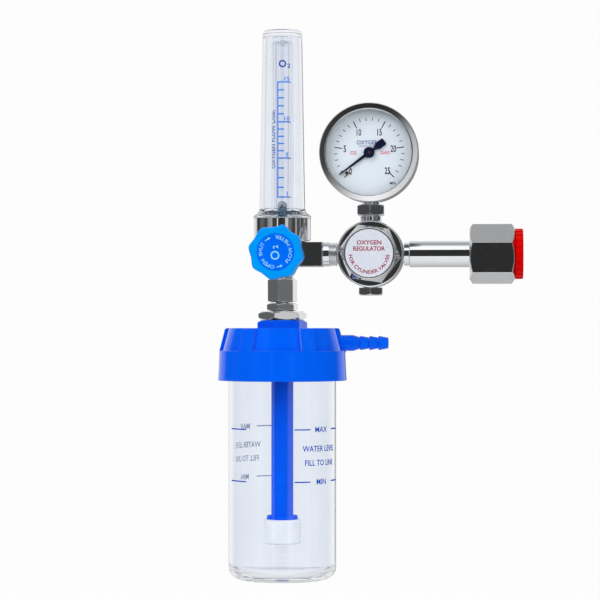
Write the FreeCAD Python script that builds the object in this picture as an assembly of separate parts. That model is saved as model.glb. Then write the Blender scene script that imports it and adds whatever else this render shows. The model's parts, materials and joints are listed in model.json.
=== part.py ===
import FreeCAD, Part
import math
import os

# Oxygen flowmeter: a regulator with a pressure gauge, a needle valve under a
# clear flow tube, and a humidifier bottle below it.
# Millimetres. The origin is on the inlet nut's axis, at the inner end of its
# thread, where the cylinder valve's face seats. +X leaves through the nut's
# mouth, -Y is the front and +Z is up.

# Clearances
running_gap = 0.05
thread_gap = 0.1
face_gap = 0.1
push_gap = 0.05

# Places of the main axes, measured from the face where the cylinder valve seats
regulator_reach = 71.0
column_offset = 54.5
gauge_height = 61.0

# Inlet nut and its stem
nut_flats = 32.0
nut_length = 27.6
nut_turn = 10.0
nut_end_wall = 4.5
nut_thread_radius = 10.3
nut_thread_length = 11.0
nut_relief_radius = 11.0
nut_mouth_radius = 11.6
nut_mouth_depth = 6.0
stem_radius = 8.0
stem_neck_radius = 7.0
stem_neck_length = 3.2
stem_bore_radius = 2.6
stem_collar_radius = 9.9
stem_nose_radius = 7.0
seal_thickness = 2.0
filter_radius = 4.2
filter_length = 4.0
port_thread_radius = 5.0
port_depth = 9.0
plug_radius = 15.4
plug_thickness = 4.8
plug_ribs = 22
plug_rib_depth = 0.7
plug_spigot_length = 5.0
plug_wall = 1.8

# Regulator
body_radius = 20.5
body_front = 9.0
body_depth = 21.0
body_edge = 1.2
recess_radius = 16.3
recess_depth = 3.5
low_chamber_radius = 9.0
low_chamber_depth = 3.0
high_chamber_radius = 5.0
high_chamber_end = -3.0
orifice_radius = 1.6
passage_radius = 1.3
diaphragm_thickness = 0.8
bonnet_flats = 33.0
bonnet_height = 11.2
bonnet_turn = -8.0
bonnet_rim_radius = 15.8
bonnet_cavity_radius = 11.5
bonnet_roof = 3.4
label_radius = 14.4
label_thickness = 0.8
plate_radius = 9.6
plate_thickness = 2.0
spring_wire = 2.2
spring_radius = 7.4
spring_turns = 2.5
poppet_pin_radius = 0.9
poppet_head_radius = 3.6
poppet_head_length = 3.0
poppet_spring_wire = 0.6
poppet_spring_radius = 2.6
poppet_lift = 0.5
rear_plug_radius = 7.5
rear_plug_head = 3.0
relief_flats = 14.0
relief_height = 4.7
relief_bore_radius = 3.2
relief_poppet_radius = 2.9
relief_spring_wire = 0.5
relief_spring_radius = 2.3
relief_spring_turns = 3
nipple_collar_radius = 7.4
nipple_ridge_radius = 7.2
nipple_ridges = 3

# Pressure gauge
case_radius = 29.5
case_wall = 1.2
case_inner_corner = 0.8
case_back = 6.0
case_front = 21.6
bezel_radius = 30.0
bezel_front = 25.0
bezel_depth = 9.5
window_radius = 25.8
glass_thickness = 2.0
dial_radius = 27.6
dial_back = 16.5
dial_thickness = 0.8
dial_ledge = 2.0
pointer_rest = 216.5
pointer_length = 22.7
pointer_tail = 11.6
pointer_thickness = 0.6
pointer_lift = 1.0
hub_radius = 3.3
hub_height = 2.0
arbor_radius = 0.7
gear_module = 0.3
pinion_teeth = 14
sector_gear_teeth = 112
sector_cut_teeth = 15
gear_thickness = 1.4
gear_back = 10.3
movement_plate_thickness = 1.0
movement_back = 8.0
movement_gap = 4.0
pillar_radius = 1.0
sector_arbor_radius = 0.8
sector_tail = 8.0
coil_radius = 21.0
coil_thickness = 3.0
coil_depth = 8.0
coil_back = -1.0
coil_end_angle = -25.0
link_pin_radius = 0.6
stop_pin_radius = 1.0
stop_pin_reach = 18.3
stop_pin_angle = 222.6
gauge_hex_flats = 16.0
gauge_hex_height = 6.8
gauge_collar_radius = 6.5
gauge_collar_height = 3.1
gauge_neck_radius = 5.5

# Needle valve and knob
block_size = 15.0
block_left = 10.5
block_right = 25.0
cup_radius = 17.5
cup_bottom = 8.3
cup_top = 22.3
cup_floor = 12.0
cup_bore_radius = 14.2
boss_radius = 9.5
boss_front = 17.0
valve_bore_radius = 4.2
valve_bore_depth = 16.0
jet_radius = 1.4
inflow_chamber_radius = 2.2
inflow_chamber_depth = 3.0
inflow_radius = 1.4
jet_length = 4.0
stub_radius = 6.75
stub_length = 7.3
stub_thread_radius = 5.9
stub_thread_length = 7.2
stub_bore_radius = 2.6
gland_flats = 15.0
gland_hex_height = 7.0
gland_thread_radius = 6.2
gland_thread_length = 6.5
gland_journal_radius = 5.6
gland_journal_length = 8.0
spindle_radius = 3.0
needle_lift = 1.5
spindle_ring_wire = 0.9
spindle_ring_depth = 4.0
knob_front = 45.0
knob_thickness = 14.0
knob_radius = 16.55
knob_valley = 1.35
knob_lobes = 8
knob_turn = -11.0
knob_edge = 1.6
knob_disc_radius = 11.2
knob_disc_thickness = 1.0
knob_hub_radius = 8.6
knob_hub_length = 5.0
knob_skirt_wall = 2.4
drive_square = 4.2
clip_thickness = 0.9
clip_groove_depth = 0.6
clip_width = 1.4

# Flow tube
tube_top = 138.0
tube_base_radius = 14.0
tube_top_radius = 12.15
tube_wall = 2.4
tube_roof = 3.6
tube_flange_radius = 17.7
tube_flange_thickness = 1.4
tube_flare_height = 4.3
tube_corner = 2.6
tube_ring_wire = 0.9
inner_tube_radius = 6.75
inner_tube_top = 130.0
bore_bottom_radius = 3.25
bore_top_radius = 3.8
seat_base_radius = 8.0
seat_base_thickness = 3.6
seat_top = 27.2
seat_radius = 3.1
seat_hole_radius = 1.2
float_radius = 3.0
stop_radius = 6.0

# Humidifier
union_flats = 16.0
union_turn = 19.0
union_length = 14.5
union_lip = 4.4
union_seal_thickness = 0.8
tail_neck_radius = 4.4
thin_hex_flats = 17.0
thin_hex_height = 4.7
thin_hex_turn = 20.0
tail_thread_radius = 7.0
tail_spigot_radius = 4.5
tail_spigot_length = 9.0
tail_bore_radius = 2.2
lid_nut_flats = 26.0
lid_nut_height = 5.3
lid_nut_turn = 16.0
lid_boss_flats = 27.0
lid_boss_height = 5.0
lid_top_radius = 35.2
lid_ledge_radius = 38.7
lid_skirt_radius = 39.4
lid_shoulder_height = 13.9
lid_skirt_height = 18.3
lid_roof = 2.6
lid_panel_depth = 2.2
lid_panel_angle = 46.0
lid_panels = 6
lid_lip = 1.8
lid_land_depth = 16.5
inner_nut_radius = 10.0
inner_nut_height = 3.2
gasket_radius = 10.5
gasket_thickness = 1.4
rim_gasket_thickness = 1.6
nozzle_drop = 9.1
nozzle_shank_radius = 4.9
nozzle_shank_end = 43.8
nozzle_waist_radius = 3.7
nozzle_waist_end = 47.3
nozzle_barb_radius = 4.4
nozzle_barb_root = 3.45
nozzle_barbs = 3
nozzle_end = 65.3
nozzle_bore_radius = 2.2
bottle_radius = 33.0
bottle_height = 135.5
bottle_wall = 2.3
bottle_base = 4.6
bottle_corner = 7.5
bottle_punt = 1.8
bottle_foot_radius = 24.0
neck_band_radius = 34.8
neck_band_height = 10.5
neck_lip_radius = 33.8
neck_lip_height = 2.0
dip_tube_radius = 6.75
dip_tube_length = 107.5
dip_bore_radius = 3.2
dip_flange_radius = 9.45
dip_flange_thickness = 2.3
dip_spigot_radius = 5.2
dip_spigot_length = 5.5
diffuser_radius = 11.35
diffuser_height = 14.9
diffuser_wall = 3.2
diffuser_corner = 1.2

# Places that follow from the sizes
regulator_x = -regulator_reach
column_x = regulator_x - column_offset
nut_mouth = nut_thread_length + nut_mouth_depth
nut_back = nut_mouth - nut_length
collar_back = nut_back + nut_end_wall + face_gap
nose_front = 0.0
collar_front = nose_front - seal_thickness
body_back = body_front - body_depth
recess_floor = body_front - recess_depth
low_chamber_floor = recess_floor - low_chamber_depth
bonnet_front = body_front + bonnet_height
bonnet_inside = bonnet_front - bonnet_roof
diaphragm_front = recess_floor + diaphragm_thickness
high_passage = high_chamber_end - passage_radius - 2 * face_gap
low_passage = low_chamber_floor + passage_radius + 2 * face_gap
port_end = body_radius - port_depth
collar_low = body_radius
gauge_hex_low = collar_low + gauge_collar_height
gauge_hex_high = gauge_hex_low + gauge_hex_height
dial_front = dial_back + dial_thickness
pointer_back = dial_front + pointer_lift
movement_front = movement_back + movement_plate_thickness + movement_gap
gear_reach = gear_module * (pinion_teeth + sector_gear_teeth) / 2 + 0.05
half_block = block_size / 2
valve_bore_end = boss_front - valve_bore_depth
jet_end = valve_bore_end - jet_length
gland_front = boss_front + gland_hex_height
journal_front = gland_front + gland_journal_length
knob_back = knob_front - knob_thickness
hub_back = knob_back - knob_hub_length
clip_back = journal_front - 2.5 * clip_thickness
tube_flange_top = cup_top + tube_flange_thickness
tube_foot = cup_floor + 2 * tube_ring_wire
inner_tube_bottom = cup_floor + seat_base_thickness
tube_inside_top = tube_top - tube_roof
float_centre = seat_top + math.sqrt(float_radius ** 2 - (seat_hole_radius + 0.1) ** 2) + 0.05
stub_low = -half_block - stub_length
stub_end = stub_low - stub_thread_length
union_top = stub_low - face_gap
union_bottom = union_top - union_length
tail_flange_top = stub_end - union_seal_thickness
tail_flange_low = union_bottom + union_lip + face_gap
thin_hex_top = union_bottom - 6 * face_gap
thin_hex_bottom = thin_hex_top - thin_hex_height
lid_nut_top = thin_hex_bottom - 3 * face_gap
lid_nut_bottom = lid_nut_top - lid_nut_height
boss_top = lid_nut_bottom
lid_top = boss_top - lid_boss_height
lid_ledge = lid_top - lid_shoulder_height
lid_bottom = lid_ledge - lid_skirt_height
lid_inside = lid_top - lid_roof
inner_nut_top = lid_inside - gasket_thickness
inner_nut_bottom = inner_nut_top - inner_nut_height
lid_land = lid_top - lid_land_depth
lid_bore_radius = neck_band_radius + 3 * thread_gap
rim_top = lid_land - rim_gasket_thickness - face_gap
bottle_bottom = rim_top - bottle_height
dip_top = inner_nut_bottom - 2 * face_gap
dip_bottom = dip_top - dip_tube_length
diffuser_top = dip_bottom - dip_flange_thickness
nozzle_z = lid_top - nozzle_drop


def point(x, y, z=0.0):
    return FreeCAD.Vector(x, y, z)


def outline(corners):
    """Closed wire through (x, y) corners. A third number rounds that corner."""
    cuts = []
    for i, corner in enumerate(corners):
        here = point(corner[0], corner[1])
        if len(corner) < 3:
            cuts.append((here, None, here))
            continue
        before = corners[i - 1]
        after = corners[(i + 1) % len(corners)]
        back = (point(before[0], before[1]) - here).normalize()
        on = (point(after[0], after[1]) - here).normalize()
        half = back.getAngle(on) / 2
        reach = corner[2] / math.tan(half)
        middle = here + (back + on).normalize() * (corner[2] / math.sin(half) - corner[2])
        cuts.append((here + back * reach, middle, here + on * reach))
    edges = []
    for i, (start, middle, end) in enumerate(cuts):
        if middle is not None:
            edges.append(Part.Arc(start, middle, end).toShape())
        following = cuts[(i + 1) % len(cuts)][0]
        if end.distanceToPoint(following) > 1e-6:
            edges.append(Part.LineSegment(end, following).toShape())
    return Part.Wire(edges)


def turned(corners):
    """Solid turned about Z from (radius, height) corners."""
    face = Part.Face(outline(corners))
    face.rotate(point(0, 0), point(1, 0), 90)
    solid = face.revolve(point(0, 0), point(0, 0, 1), 360)
    if solid.Volume < 0:
        solid.reverse()
    return solid


def plate(corners, low, high):
    """Flat piece from (x, y) corners, between two heights."""
    face = Part.Face(outline(corners))
    face.translate(point(0, 0, low))
    return face.extrude(point(0, 0, high - low))


def rod(radius, low, high, x=0.0, y=0.0):
    return Part.makeCylinder(radius, high - low, point(x, y, low))


def sleeve(outer, inner, low, high):
    return turned([(inner, low), (outer, low), (outer, high), (inner, high)])


def polar(radius, degrees):
    turn = math.radians(degrees)
    return radius * math.cos(turn), radius * math.sin(turn)


def ring_wire(radius, wire, low):
    """O-ring or other round ring of a round wire, lying on the given height."""
    return Part.makeTorus(radius, wire, point(0, 0, low + wire))


def hexagon(flats, low, high, turn):
    corner = flats / math.sqrt(3)
    return plate([polar(corner, turn + 60 * i) for i in range(6)], low, high)


def bevelled_hexagon(flats, low, high, turn, bevel_low=True, bevel_high=True):
    """Hexagon bar whose ends are turned to the usual 30 degree bevel."""
    corner = flats / math.sqrt(3) + 0.01
    face = 0.475 * flats
    rise = (corner - face) * math.tan(math.radians(30))
    low_end = [(0, low), (face, low), (corner, low + rise)] if bevel_low else [(0, low), (corner, low)]
    high_end = [(corner, high), (0, high)]
    if bevel_high:
        high_end = [(corner, high - rise), (face, high), (0, high)]
    return hexagon(flats, low, high, turn).common(turned(low_end + high_end))


def coil_spring(radius, wire, turns, low, high):
    """Open coil spring of round wire between two heights."""
    rise = high - low - 2 * wire
    helix = Part.makeHelix(rise / turns, rise, radius)
    section = Part.Wire(Part.makeCircle(wire, point(radius, 0, 0), point(0, 1, 0)))
    spring = Part.Wire(helix).makePipeShell([section], True, True)
    spring.translate(point(0, 0, low + wire))
    return spring


def to_front(shape, x=0.0, z=0.0):
    """Turns a piece drawn along Z so that its top faces the front."""
    shape.rotate(point(0, 0), point(1, 0), 90)
    shape.translate(point(x, 0, z))
    return shape


def to_right(shape, x=0.0):
    """Turns a piece drawn along Z so that its top faces +X."""
    shape.rotate(point(0, 0), point(0, 1), 90)
    shape.translate(point(x, 0, 0))
    return shape


def to_left(shape, x=0.0):
    shape.rotate(point(0, 0), point(0, 1), -90)
    shape.translate(point(x, 0, 0))
    return shape


def on_column(shape):
    shape.translate(point(column_x, 0, 0))
    return shape


# Inlet

def inlet_nut():
    nut = bevelled_hexagon(nut_flats, nut_back, nut_mouth, nut_turn)
    back_inside = nut_back + nut_end_wall
    bore = turned([
        (0, nut_back - 1),
        (stem_radius + running_gap, nut_back - 1),
        (stem_radius + running_gap, back_inside),
        (nut_relief_radius, back_inside),
        (nut_relief_radius, 0),
        (nut_thread_radius, 0),
        (nut_thread_radius, nut_thread_length),
        (nut_mouth_radius, nut_thread_length),
        (nut_mouth_radius, nut_mouth + 1),
        (0, nut_mouth + 1),
    ])
    return to_right(nut.cut(bore))


def inlet_stem():
    neck_start = regulator_x + port_end
    neck_end = regulator_x + body_radius + stem_neck_length
    thread = port_thread_radius - thread_gap
    outside = turned([
        (0, neck_start),
        (thread, neck_start),
        (thread, regulator_x + body_radius),
        (stem_neck_radius, regulator_x + body_radius),
        (stem_neck_radius, neck_end),
        (stem_radius, neck_end, 0.4),
        (stem_radius, collar_back),
        (stem_collar_radius, collar_back),
        (stem_collar_radius, collar_front),
        (stem_nose_radius, collar_front),
        (stem_nose_radius, nose_front),
        (0, nose_front),
    ])
    pocket = rod(filter_radius + push_gap, nose_front - filter_length, nose_front + 1)
    return to_right(outside.cut(rod(stem_bore_radius, neck_start - 1, nose_front)).cut(pocket))


def inlet_filter():
    return to_right(rod(filter_radius, nose_front - filter_length, nose_front))


def seal_washer():
    inner = stem_nose_radius + push_gap
    return to_right(sleeve(stem_collar_radius, inner, collar_front, nose_front))


def dust_plug():
    low = nut_mouth + 2 * face_gap
    high = low + plug_thickness
    corners = []
    for i in range(plug_ribs):
        start = 360.0 * i / plug_ribs
        step = 360.0 / plug_ribs
        corners.append(polar(plug_radius, start + 0.15 * step))
        corners.append(polar(plug_radius, start + 0.55 * step))
        corners.append(polar(plug_radius - plug_rib_depth, start + 0.7 * step))
        corners.append(polar(plug_radius - plug_rib_depth, start + 1.0 * step))
    head = plate(corners, low, high)
    trim = turned([
        (0, low),
        (plug_radius + 1, low),
        (plug_radius + 1, high - 1.6),
        (plug_radius - 0.6, high),
        (0, high),
    ])
    spigot_radius = nut_mouth_radius - 2 * face_gap
    spigot = rod(spigot_radius, low - plug_spigot_length, low)
    hollow = rod(spigot_radius - plug_wall, low - plug_spigot_length - 1, high - 2 * plug_wall)
    return to_right(head.common(trim).fuse(spigot).cut(hollow).removeSplitter())


# Regulator

def regulator_body():
    outside = turned([
        (0, body_back),
        (body_radius - 2.5, body_back, 1.5),
        (body_radius, body_back + 4, 1.5),
        (body_radius, body_front, body_edge),
        (0, body_front),
    ])
    bores = [
        rod(recess_radius, recess_floor, body_front + 1),
        rod(low_chamber_radius, low_chamber_floor, body_front),
        rod(orifice_radius, high_chamber_end - 1, low_chamber_floor + 1),
        rod(high_chamber_radius, body_back - 1, high_chamber_end),
    ]
    for bore in bores:
        outside = outside.cut(bore)
    inward = low_chamber_radius - 1
    for turn, height in ((0, high_passage), (90, high_passage), (180, low_passage), (270, low_passage)):
        hole = rod(port_thread_radius, port_end, body_radius + 1)
        deep = inward if height == low_passage else high_chamber_radius - 1
        passage = rod(passage_radius, deep, port_end + 1, x=-height)
        both = hole.fuse(passage)
        both.rotate(point(0, 0), point(0, 1), 90)
        both.rotate(point(0, 0), point(0, 0, 1), turn)
        outside = outside.cut(both)
    return to_front(outside, regulator_x)


def bonnet():
    corner = bonnet_flats / math.sqrt(3)
    cone = turned([
        (0, body_front),
        (corner - 0.4, body_front),
        (corner, body_front + 0.6),
        (corner, body_front + 3.4),
        (bonnet_rim_radius, bonnet_front - 1.6),
        (bonnet_rim_radius, bonnet_front, 0.7),
        (0, bonnet_front),
    ])
    head = hexagon(bonnet_flats, body_front, bonnet_front, bonnet_turn).common(cone)
    spigot = rod(recess_radius - thread_gap, diaphragm_front, body_front)
    cavity = rod(bonnet_cavity_radius, diaphragm_front - 1, bonnet_inside)
    pocket = rod(label_radius + push_gap, bonnet_front - label_thickness, bonnet_front + 1)
    return to_front(head.fuse(spigot).cut(cavity).cut(pocket), regulator_x)


def label_disc():
    return to_front(rod(label_radius, bonnet_front - label_thickness, bonnet_front), regulator_x)


def diaphragm():
    radius = recess_radius - 2 * thread_gap
    return to_front(rod(radius, recess_floor, diaphragm_front), regulator_x)


def spring_plate():
    low = diaphragm_front
    high = low + plate_thickness
    pilot = spring_radius - spring_wire / 2 - 3 * thread_gap
    disc = rod(plate_radius, low, high).fuse(rod(pilot, high, high + plate_thickness))
    return to_front(disc, regulator_x)


def range_spring():
    low = diaphragm_front + plate_thickness
    spring = coil_spring(spring_radius, spring_wire / 2, spring_turns, low, bonnet_inside)
    return to_front(spring, regulator_x)


def poppet():
    shoulder = high_chamber_end - face_gap
    pin = rod(poppet_pin_radius, shoulder - 0.5, recess_floor - face_gap)
    head = turned([
        (0, shoulder - poppet_head_length),
        (poppet_head_radius - 0.8, shoulder - poppet_head_length),
        (poppet_head_radius, shoulder - poppet_head_length + 0.8),
        (poppet_head_radius, shoulder - 0.8),
        (poppet_head_radius - 0.8, shoulder),
        (0, shoulder),
    ])
    return to_front(head.fuse(pin), regulator_x)


def poppet_spring():
    high = high_chamber_end - face_gap - poppet_head_length - poppet_lift - face_gap
    low = body_back + rear_plug_head
    spring = coil_spring(poppet_spring_radius, poppet_spring_wire / 2, 2, low, high)
    return to_front(spring, regulator_x)


def rear_plug():
    low = body_back - rear_plug_head
    head = bevelled_hexagon(2 * rear_plug_radius, low, body_back, 0, bevel_high=False)
    thread = rod(high_chamber_radius - thread_gap, body_back, body_back + rear_plug_head)
    return to_front(head.fuse(thread), regulator_x)


def relief_body():
    """Relief valve's hexagon body, drawn downwards from the regulator."""
    low = body_radius
    high = low + relief_height
    head = bevelled_hexagon(relief_flats, low, high, 30, bevel_low=False)
    thread = rod(port_thread_radius - thread_gap, port_end, low)
    solid = head.fuse(thread)
    solid = solid.cut(rod(relief_bore_radius, low - 4, high - 1.2))
    solid = solid.cut(rod(passage_radius, port_end - 1, high + 1))
    solid.rotate(point(0, 0), point(1, 0), 180)
    solid.translate(point(regulator_x, 0, 0))
    return solid


def relief_poppet():
    low = body_radius - 4 + face_gap
    disc = turned([
        (0, low - 1.2),
        (passage_radius - 2 * face_gap, low - 1.2),
        (passage_radius - 2 * face_gap, low),
        (relief_poppet_radius, low),
        (relief_poppet_radius, low + 1.6),
        (0, low + 1.6),
    ])
    disc.rotate(point(0, 0), point(1, 0), 180)
    disc.translate(point(regulator_x, 0, 0))
    return disc


def relief_spring():
    low = body_radius - 4 + face_gap + 1.6 + poppet_lift + face_gap
    high = body_radius + relief_height - 1.2
    spring = coil_spring(relief_spring_radius, relief_spring_wire / 2, relief_spring_turns, low, high)
    spring.rotate(point(0, 0), point(1, 0), 180)
    spring.translate(point(regulator_x, 0, 0))
    return spring


def nipple():
    """Threaded joint between the regulator and the valve block, drawn towards -X."""
    start = port_end
    seat = body_radius
    end = column_offset - block_right
    thread = port_thread_radius - thread_gap
    span = end - seat
    ridge_zone = 0.48 * span
    pitch = ridge_zone / nipple_ridges
    corners = [(0, start), (thread, start), (thread, seat)]
    for i in range(nipple_ridges):
        low = seat + i * pitch
        corners.append((nipple_ridge_radius - 0.8, low))
        corners.append((nipple_ridge_radius, low + 0.3 * pitch))
        corners.append((nipple_ridge_radius, low + 0.65 * pitch))
        corners.append((nipple_ridge_radius - 0.8, low + 0.95 * pitch))
    corners.append((nipple_collar_radius - 0.5, seat + ridge_zone))
    corners.append((nipple_collar_radius, seat + ridge_zone + 0.4))
    corners.append((nipple_collar_radius, end - 0.4))
    corners.append((nipple_collar_radius - 0.4, end))
    corners.append((thread, end))
    corners.append((thread, end + port_depth - 1))
    corners.append((0, end + port_depth - 1))
    solid = turned(corners).cut(rod(stem_bore_radius, start - 1, end + port_depth))
    return to_left(solid, regulator_x)


# Gauge, drawn facing up and centred on its pointer's axis

def place_gauge(shape):
    return to_front(shape, regulator_x, gauge_height)


def socket_block():
    """Block inside the case that the coil and the movement are fixed to."""
    inner = case_radius - case_wall - running_gap
    high = -gear_reach + 2.2
    side = gauge_neck_radius + 0.8
    low = case_wall - case_back + case_inner_corner
    corners = [(-side, -inner), (side, -inner), (side, high), (-side, high)]
    block = plate(corners, low, movement_back)
    return block.common(rod(inner, -case_back, case_front))


def gauge_socket():
    neck_end = gauge_height - case_radius + 2 * case_wall
    stem = turned([
        (0, port_end),
        (port_thread_radius - thread_gap, port_end),
        (port_thread_radius - thread_gap, body_radius),
        (gauge_collar_radius, collar_low),
        (gauge_collar_radius, gauge_hex_low - 0.6),
        (gauge_collar_radius - 0.8, gauge_hex_low),
        (gauge_collar_radius - 0.8, gauge_hex_high),
        (gauge_neck_radius, gauge_hex_high),
        (gauge_neck_radius, neck_end),
        (0, neck_end),
    ])
    hexagonal = bevelled_hexagon(gauge_hex_flats, gauge_hex_low, gauge_hex_high, 30)
    stem = stem.fuse(hexagonal)
    stem.translate(point(regulator_x, 0, 0))
    block = place_gauge(socket_block())
    bore = rod(passage_radius, port_end - 1, gauge_hex_high + 8)
    bore.translate(point(regulator_x, 0, 0))
    return stem.fuse(block).cut(bore)


def gauge_case():
    inner = case_radius - case_wall
    shell = turned([
        (0, -case_back),
        (case_radius, -case_back, 2.0),
        (case_radius, case_front),
        (inner, case_front),
        (inner, dial_back),
        (inner - dial_ledge, dial_back),
        (inner - dial_ledge, dial_back - case_wall),
        (inner, dial_back - case_wall - dial_ledge),
        (inner, case_wall - case_back, case_inner_corner),
        (0, case_wall - case_back),
    ])
    shell = place_gauge(shell)
    hole = rod(gauge_neck_radius + running_gap, 0, gauge_height - case_radius + 8)
    hole.translate(point(regulator_x, 0, 0))
    return shell.cut(hole)


def gauge_bezel():
    inner = case_radius + running_gap
    return place_gauge(turned([
        (inner, bezel_front - bezel_depth),
        (bezel_radius, bezel_front - bezel_depth),
        (bezel_radius, bezel_front, 2.6),
        (window_radius + 0.9, bezel_front, 0.5),
        (window_radius, bezel_front - 0.9),
        (window_radius, case_front + glass_thickness),
        (inner, case_front + glass_thickness),
    ]))


def gauge_glass():
    return place_gauge(rod(case_radius - 2 * running_gap, case_front, case_front + glass_thickness))


def gauge_dial():
    dial = rod(dial_radius, dial_back, dial_front)
    return place_gauge(dial.cut(rod(arbor_radius + 1.5, dial_back - 1, dial_front + 1)))


def stop_pin():
    x, y = polar(stop_pin_reach, stop_pin_angle)
    return place_gauge(rod(stop_pin_radius, dial_front, pointer_back + 2 * pointer_thickness, x, y))


def pointer():
    blade = plate([
        (0, -1.0),
        (pointer_length, -0.3),
        (pointer_length, 0.3),
        (0, 1.0),
        (-0.35 * pointer_tail, 0.9),
        (-0.55 * pointer_tail, 2.2, 0.8),
        (-pointer_tail, 2.2, 0.8),
        (-pointer_tail, -2.2, 0.8),
        (-0.55 * pointer_tail, -2.2, 0.8),
        (-0.35 * pointer_tail, -0.9),
    ], pointer_back, pointer_back + pointer_thickness)
    hub = turned([
        (0, pointer_back),
        (hub_radius, pointer_back),
        (hub_radius, pointer_back + hub_height, 0.6),
        (0, pointer_back + hub_height),
    ])
    solid = blade.fuse(hub).cut(rod(arbor_radius, pointer_back - 1, pointer_back + hub_height + 1))
    solid.rotate(point(0, 0), point(0, 0, 1), pointer_rest)
    return place_gauge(solid)


def flank(teeth, radius):
    """Half of a tooth's width at a radius, as an angle in degrees."""
    pitch_radius = gear_module * teeth / 2
    base = pitch_radius * math.cos(math.radians(20))

    def involute(at):
        if at <= base:
            return 0.0
        turn = math.acos(base / at)
        return math.tan(turn) - turn

    half = (math.pi * gear_module / 2 - 0.06) / 2 / pitch_radius
    return math.degrees(half + involute(pitch_radius) - involute(radius))


def tooth(teeth, middle):
    """Corners of one gear tooth whose centre line is at an angle in degrees."""
    pitch_radius = gear_module * teeth / 2
    radii = [
        pitch_radius - 1.05 * gear_module,
        pitch_radius - 0.4 * gear_module,
        pitch_radius + 0.2 * gear_module,
        pitch_radius + 0.8 * gear_module,
    ]
    rising = [polar(r, middle - flank(teeth, r)) for r in radii]
    falling = [polar(r, middle + flank(teeth, r)) for r in reversed(radii)]
    return rising + falling


def pointer_arbor():
    step = 360.0 / pinion_teeth
    corners = []
    for i in range(pinion_teeth):
        corners += tooth(pinion_teeth, -90 + step * (i + 0.5))
    pinion = plate(corners, gear_back, gear_back + gear_thickness)
    shaft = rod(arbor_radius, movement_back, pointer_back + hub_height)
    return place_gauge(pinion.fuse(shaft))


def sector_gear():
    step = 360.0 / sector_gear_teeth
    root = gear_module * (sector_gear_teeth / 2 - 1.05)
    first = 90 - step * (sector_cut_teeth - 3)
    last = 90 + step * 2
    corners = [polar(1.6, (first + last) / 2 - 80)]
    corners.append(polar(root, first - step))
    for i in range(sector_cut_teeth):
        corners += tooth(sector_gear_teeth, first + step * i)
    corners.append(polar(root, last + step))
    corners.append(polar(1.6, (first + last) / 2 + 80))
    high = gear_back + gear_thickness
    fan = plate(corners, gear_back, high)
    half_tail = 1.2
    tail_end = [(sector_tail, -half_tail, 1.0), (sector_tail + half_tail, half_tail, 1.0)]
    tail = plate([(0, -half_tail)] + tail_end + [(0, half_tail)], gear_back, high)
    tail.rotate(point(0, 0), point(0, 0, 1), -20)
    solid = fan.fuse(tail).fuse(rod(2.6, gear_back, high))
    solid = solid.fuse(rod(sector_arbor_radius, movement_back, movement_front + movement_plate_thickness))
    solid.translate(point(0, -gear_reach))
    return place_gauge(solid)


def movement_plate(low):
    """Brass plate that carries both arbors."""
    high = low + movement_plate_thickness
    foot = gear_reach + 6.0
    shape = plate([
        (-3.4, 2.6, 1.5), (3.4, 2.6, 1.5), (5.6, -foot, 1.5), (-5.6, -foot, 1.5),
    ], low, high)
    shape = shape.cut(rod(arbor_radius + running_gap, low - 1, high + 1))
    return place_gauge(shape.cut(rod(sector_arbor_radius + running_gap, low - 1, high + 1, 0, -gear_reach)))


def movement_pillars():
    low = movement_back + movement_plate_thickness
    posts = []
    for side in (-1, 1):
        posts.append(place_gauge(rod(pillar_radius, low, movement_front, 3.6 * side, -gear_reach - 4.4)))
    return Part.makeCompound(posts)


def coil_section(shrink):
    """Oval section of the coiled pressure tube, drawn beside the axis."""
    across = coil_thickness / 2 - shrink
    deep = coil_depth / 2 - shrink
    middle = coil_back + coil_depth / 2
    face = Part.Face(outline([
        (coil_radius - across, middle - deep, 0.9 * across),
        (coil_radius + across, middle - deep, 0.9 * across),
        (coil_radius + across, middle + deep, 0.9 * across),
        (coil_radius - across, middle + deep, 0.9 * across),
    ]))
    face.rotate(point(0, 0), point(1, 0), 90)
    return face


def pressure_coil():
    start = -90 - 12
    swing = 360 + start - coil_end_angle
    section = coil_section(0)
    section.rotate(point(0, 0), point(0, 0, 1), coil_end_angle)
    coil = section.revolve(point(0, 0), point(0, 0, 1), swing)
    return place_gauge(coil.cut(socket_block()))


def coil_tip():
    """Block that closes the coil's end and holds the link's pin."""
    x, y = polar(coil_radius, coil_end_angle)
    high = movement_front - 0.4
    block = plate([(-2, -2.4), (2, -2.4), (2, 0), (-2, 0)], coil_back, coil_back + coil_depth)
    post = rod(link_pin_radius, coil_back + coil_depth, high, 0, -1.2)
    solid = block.fuse(post)
    solid.rotate(point(0, 0), point(0, 0, 1), coil_end_angle)
    solid.translate(point(x, y))
    return place_gauge(solid)


def link_end():
    x, y = polar(sector_tail, -20)
    return x, y - gear_reach


def link():
    """Rod from the coil's tip to the toothed sector's tail."""
    bend = math.radians(coil_end_angle)
    tip_x, tip_y = polar(coil_radius, coil_end_angle)
    tip_x += 1.2 * math.sin(bend)
    tip_y -= 1.2 * math.cos(bend)
    end_x, end_y = link_end()
    length = math.hypot(tip_x - end_x, tip_y - end_y)
    low = gear_back + gear_thickness + 2 * face_gap
    bar = plate([(-1.4, -1.2, 0.8), (length + 1.6, -1.2, 0.8), (length + 1.6, 1.2, 0.8), (-1.4, 1.2, 0.8)],
                low, low + 0.7)
    bar = bar.cut(rod(link_pin_radius + push_gap, low - 1, low + 2, length, 0))
    bar.rotate(point(0, 0), point(0, 0, 1), math.degrees(math.atan2(tip_y - end_y, tip_x - end_x)))
    bar.translate(point(end_x, end_y))
    return place_gauge(bar)


# Needle valve

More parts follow.
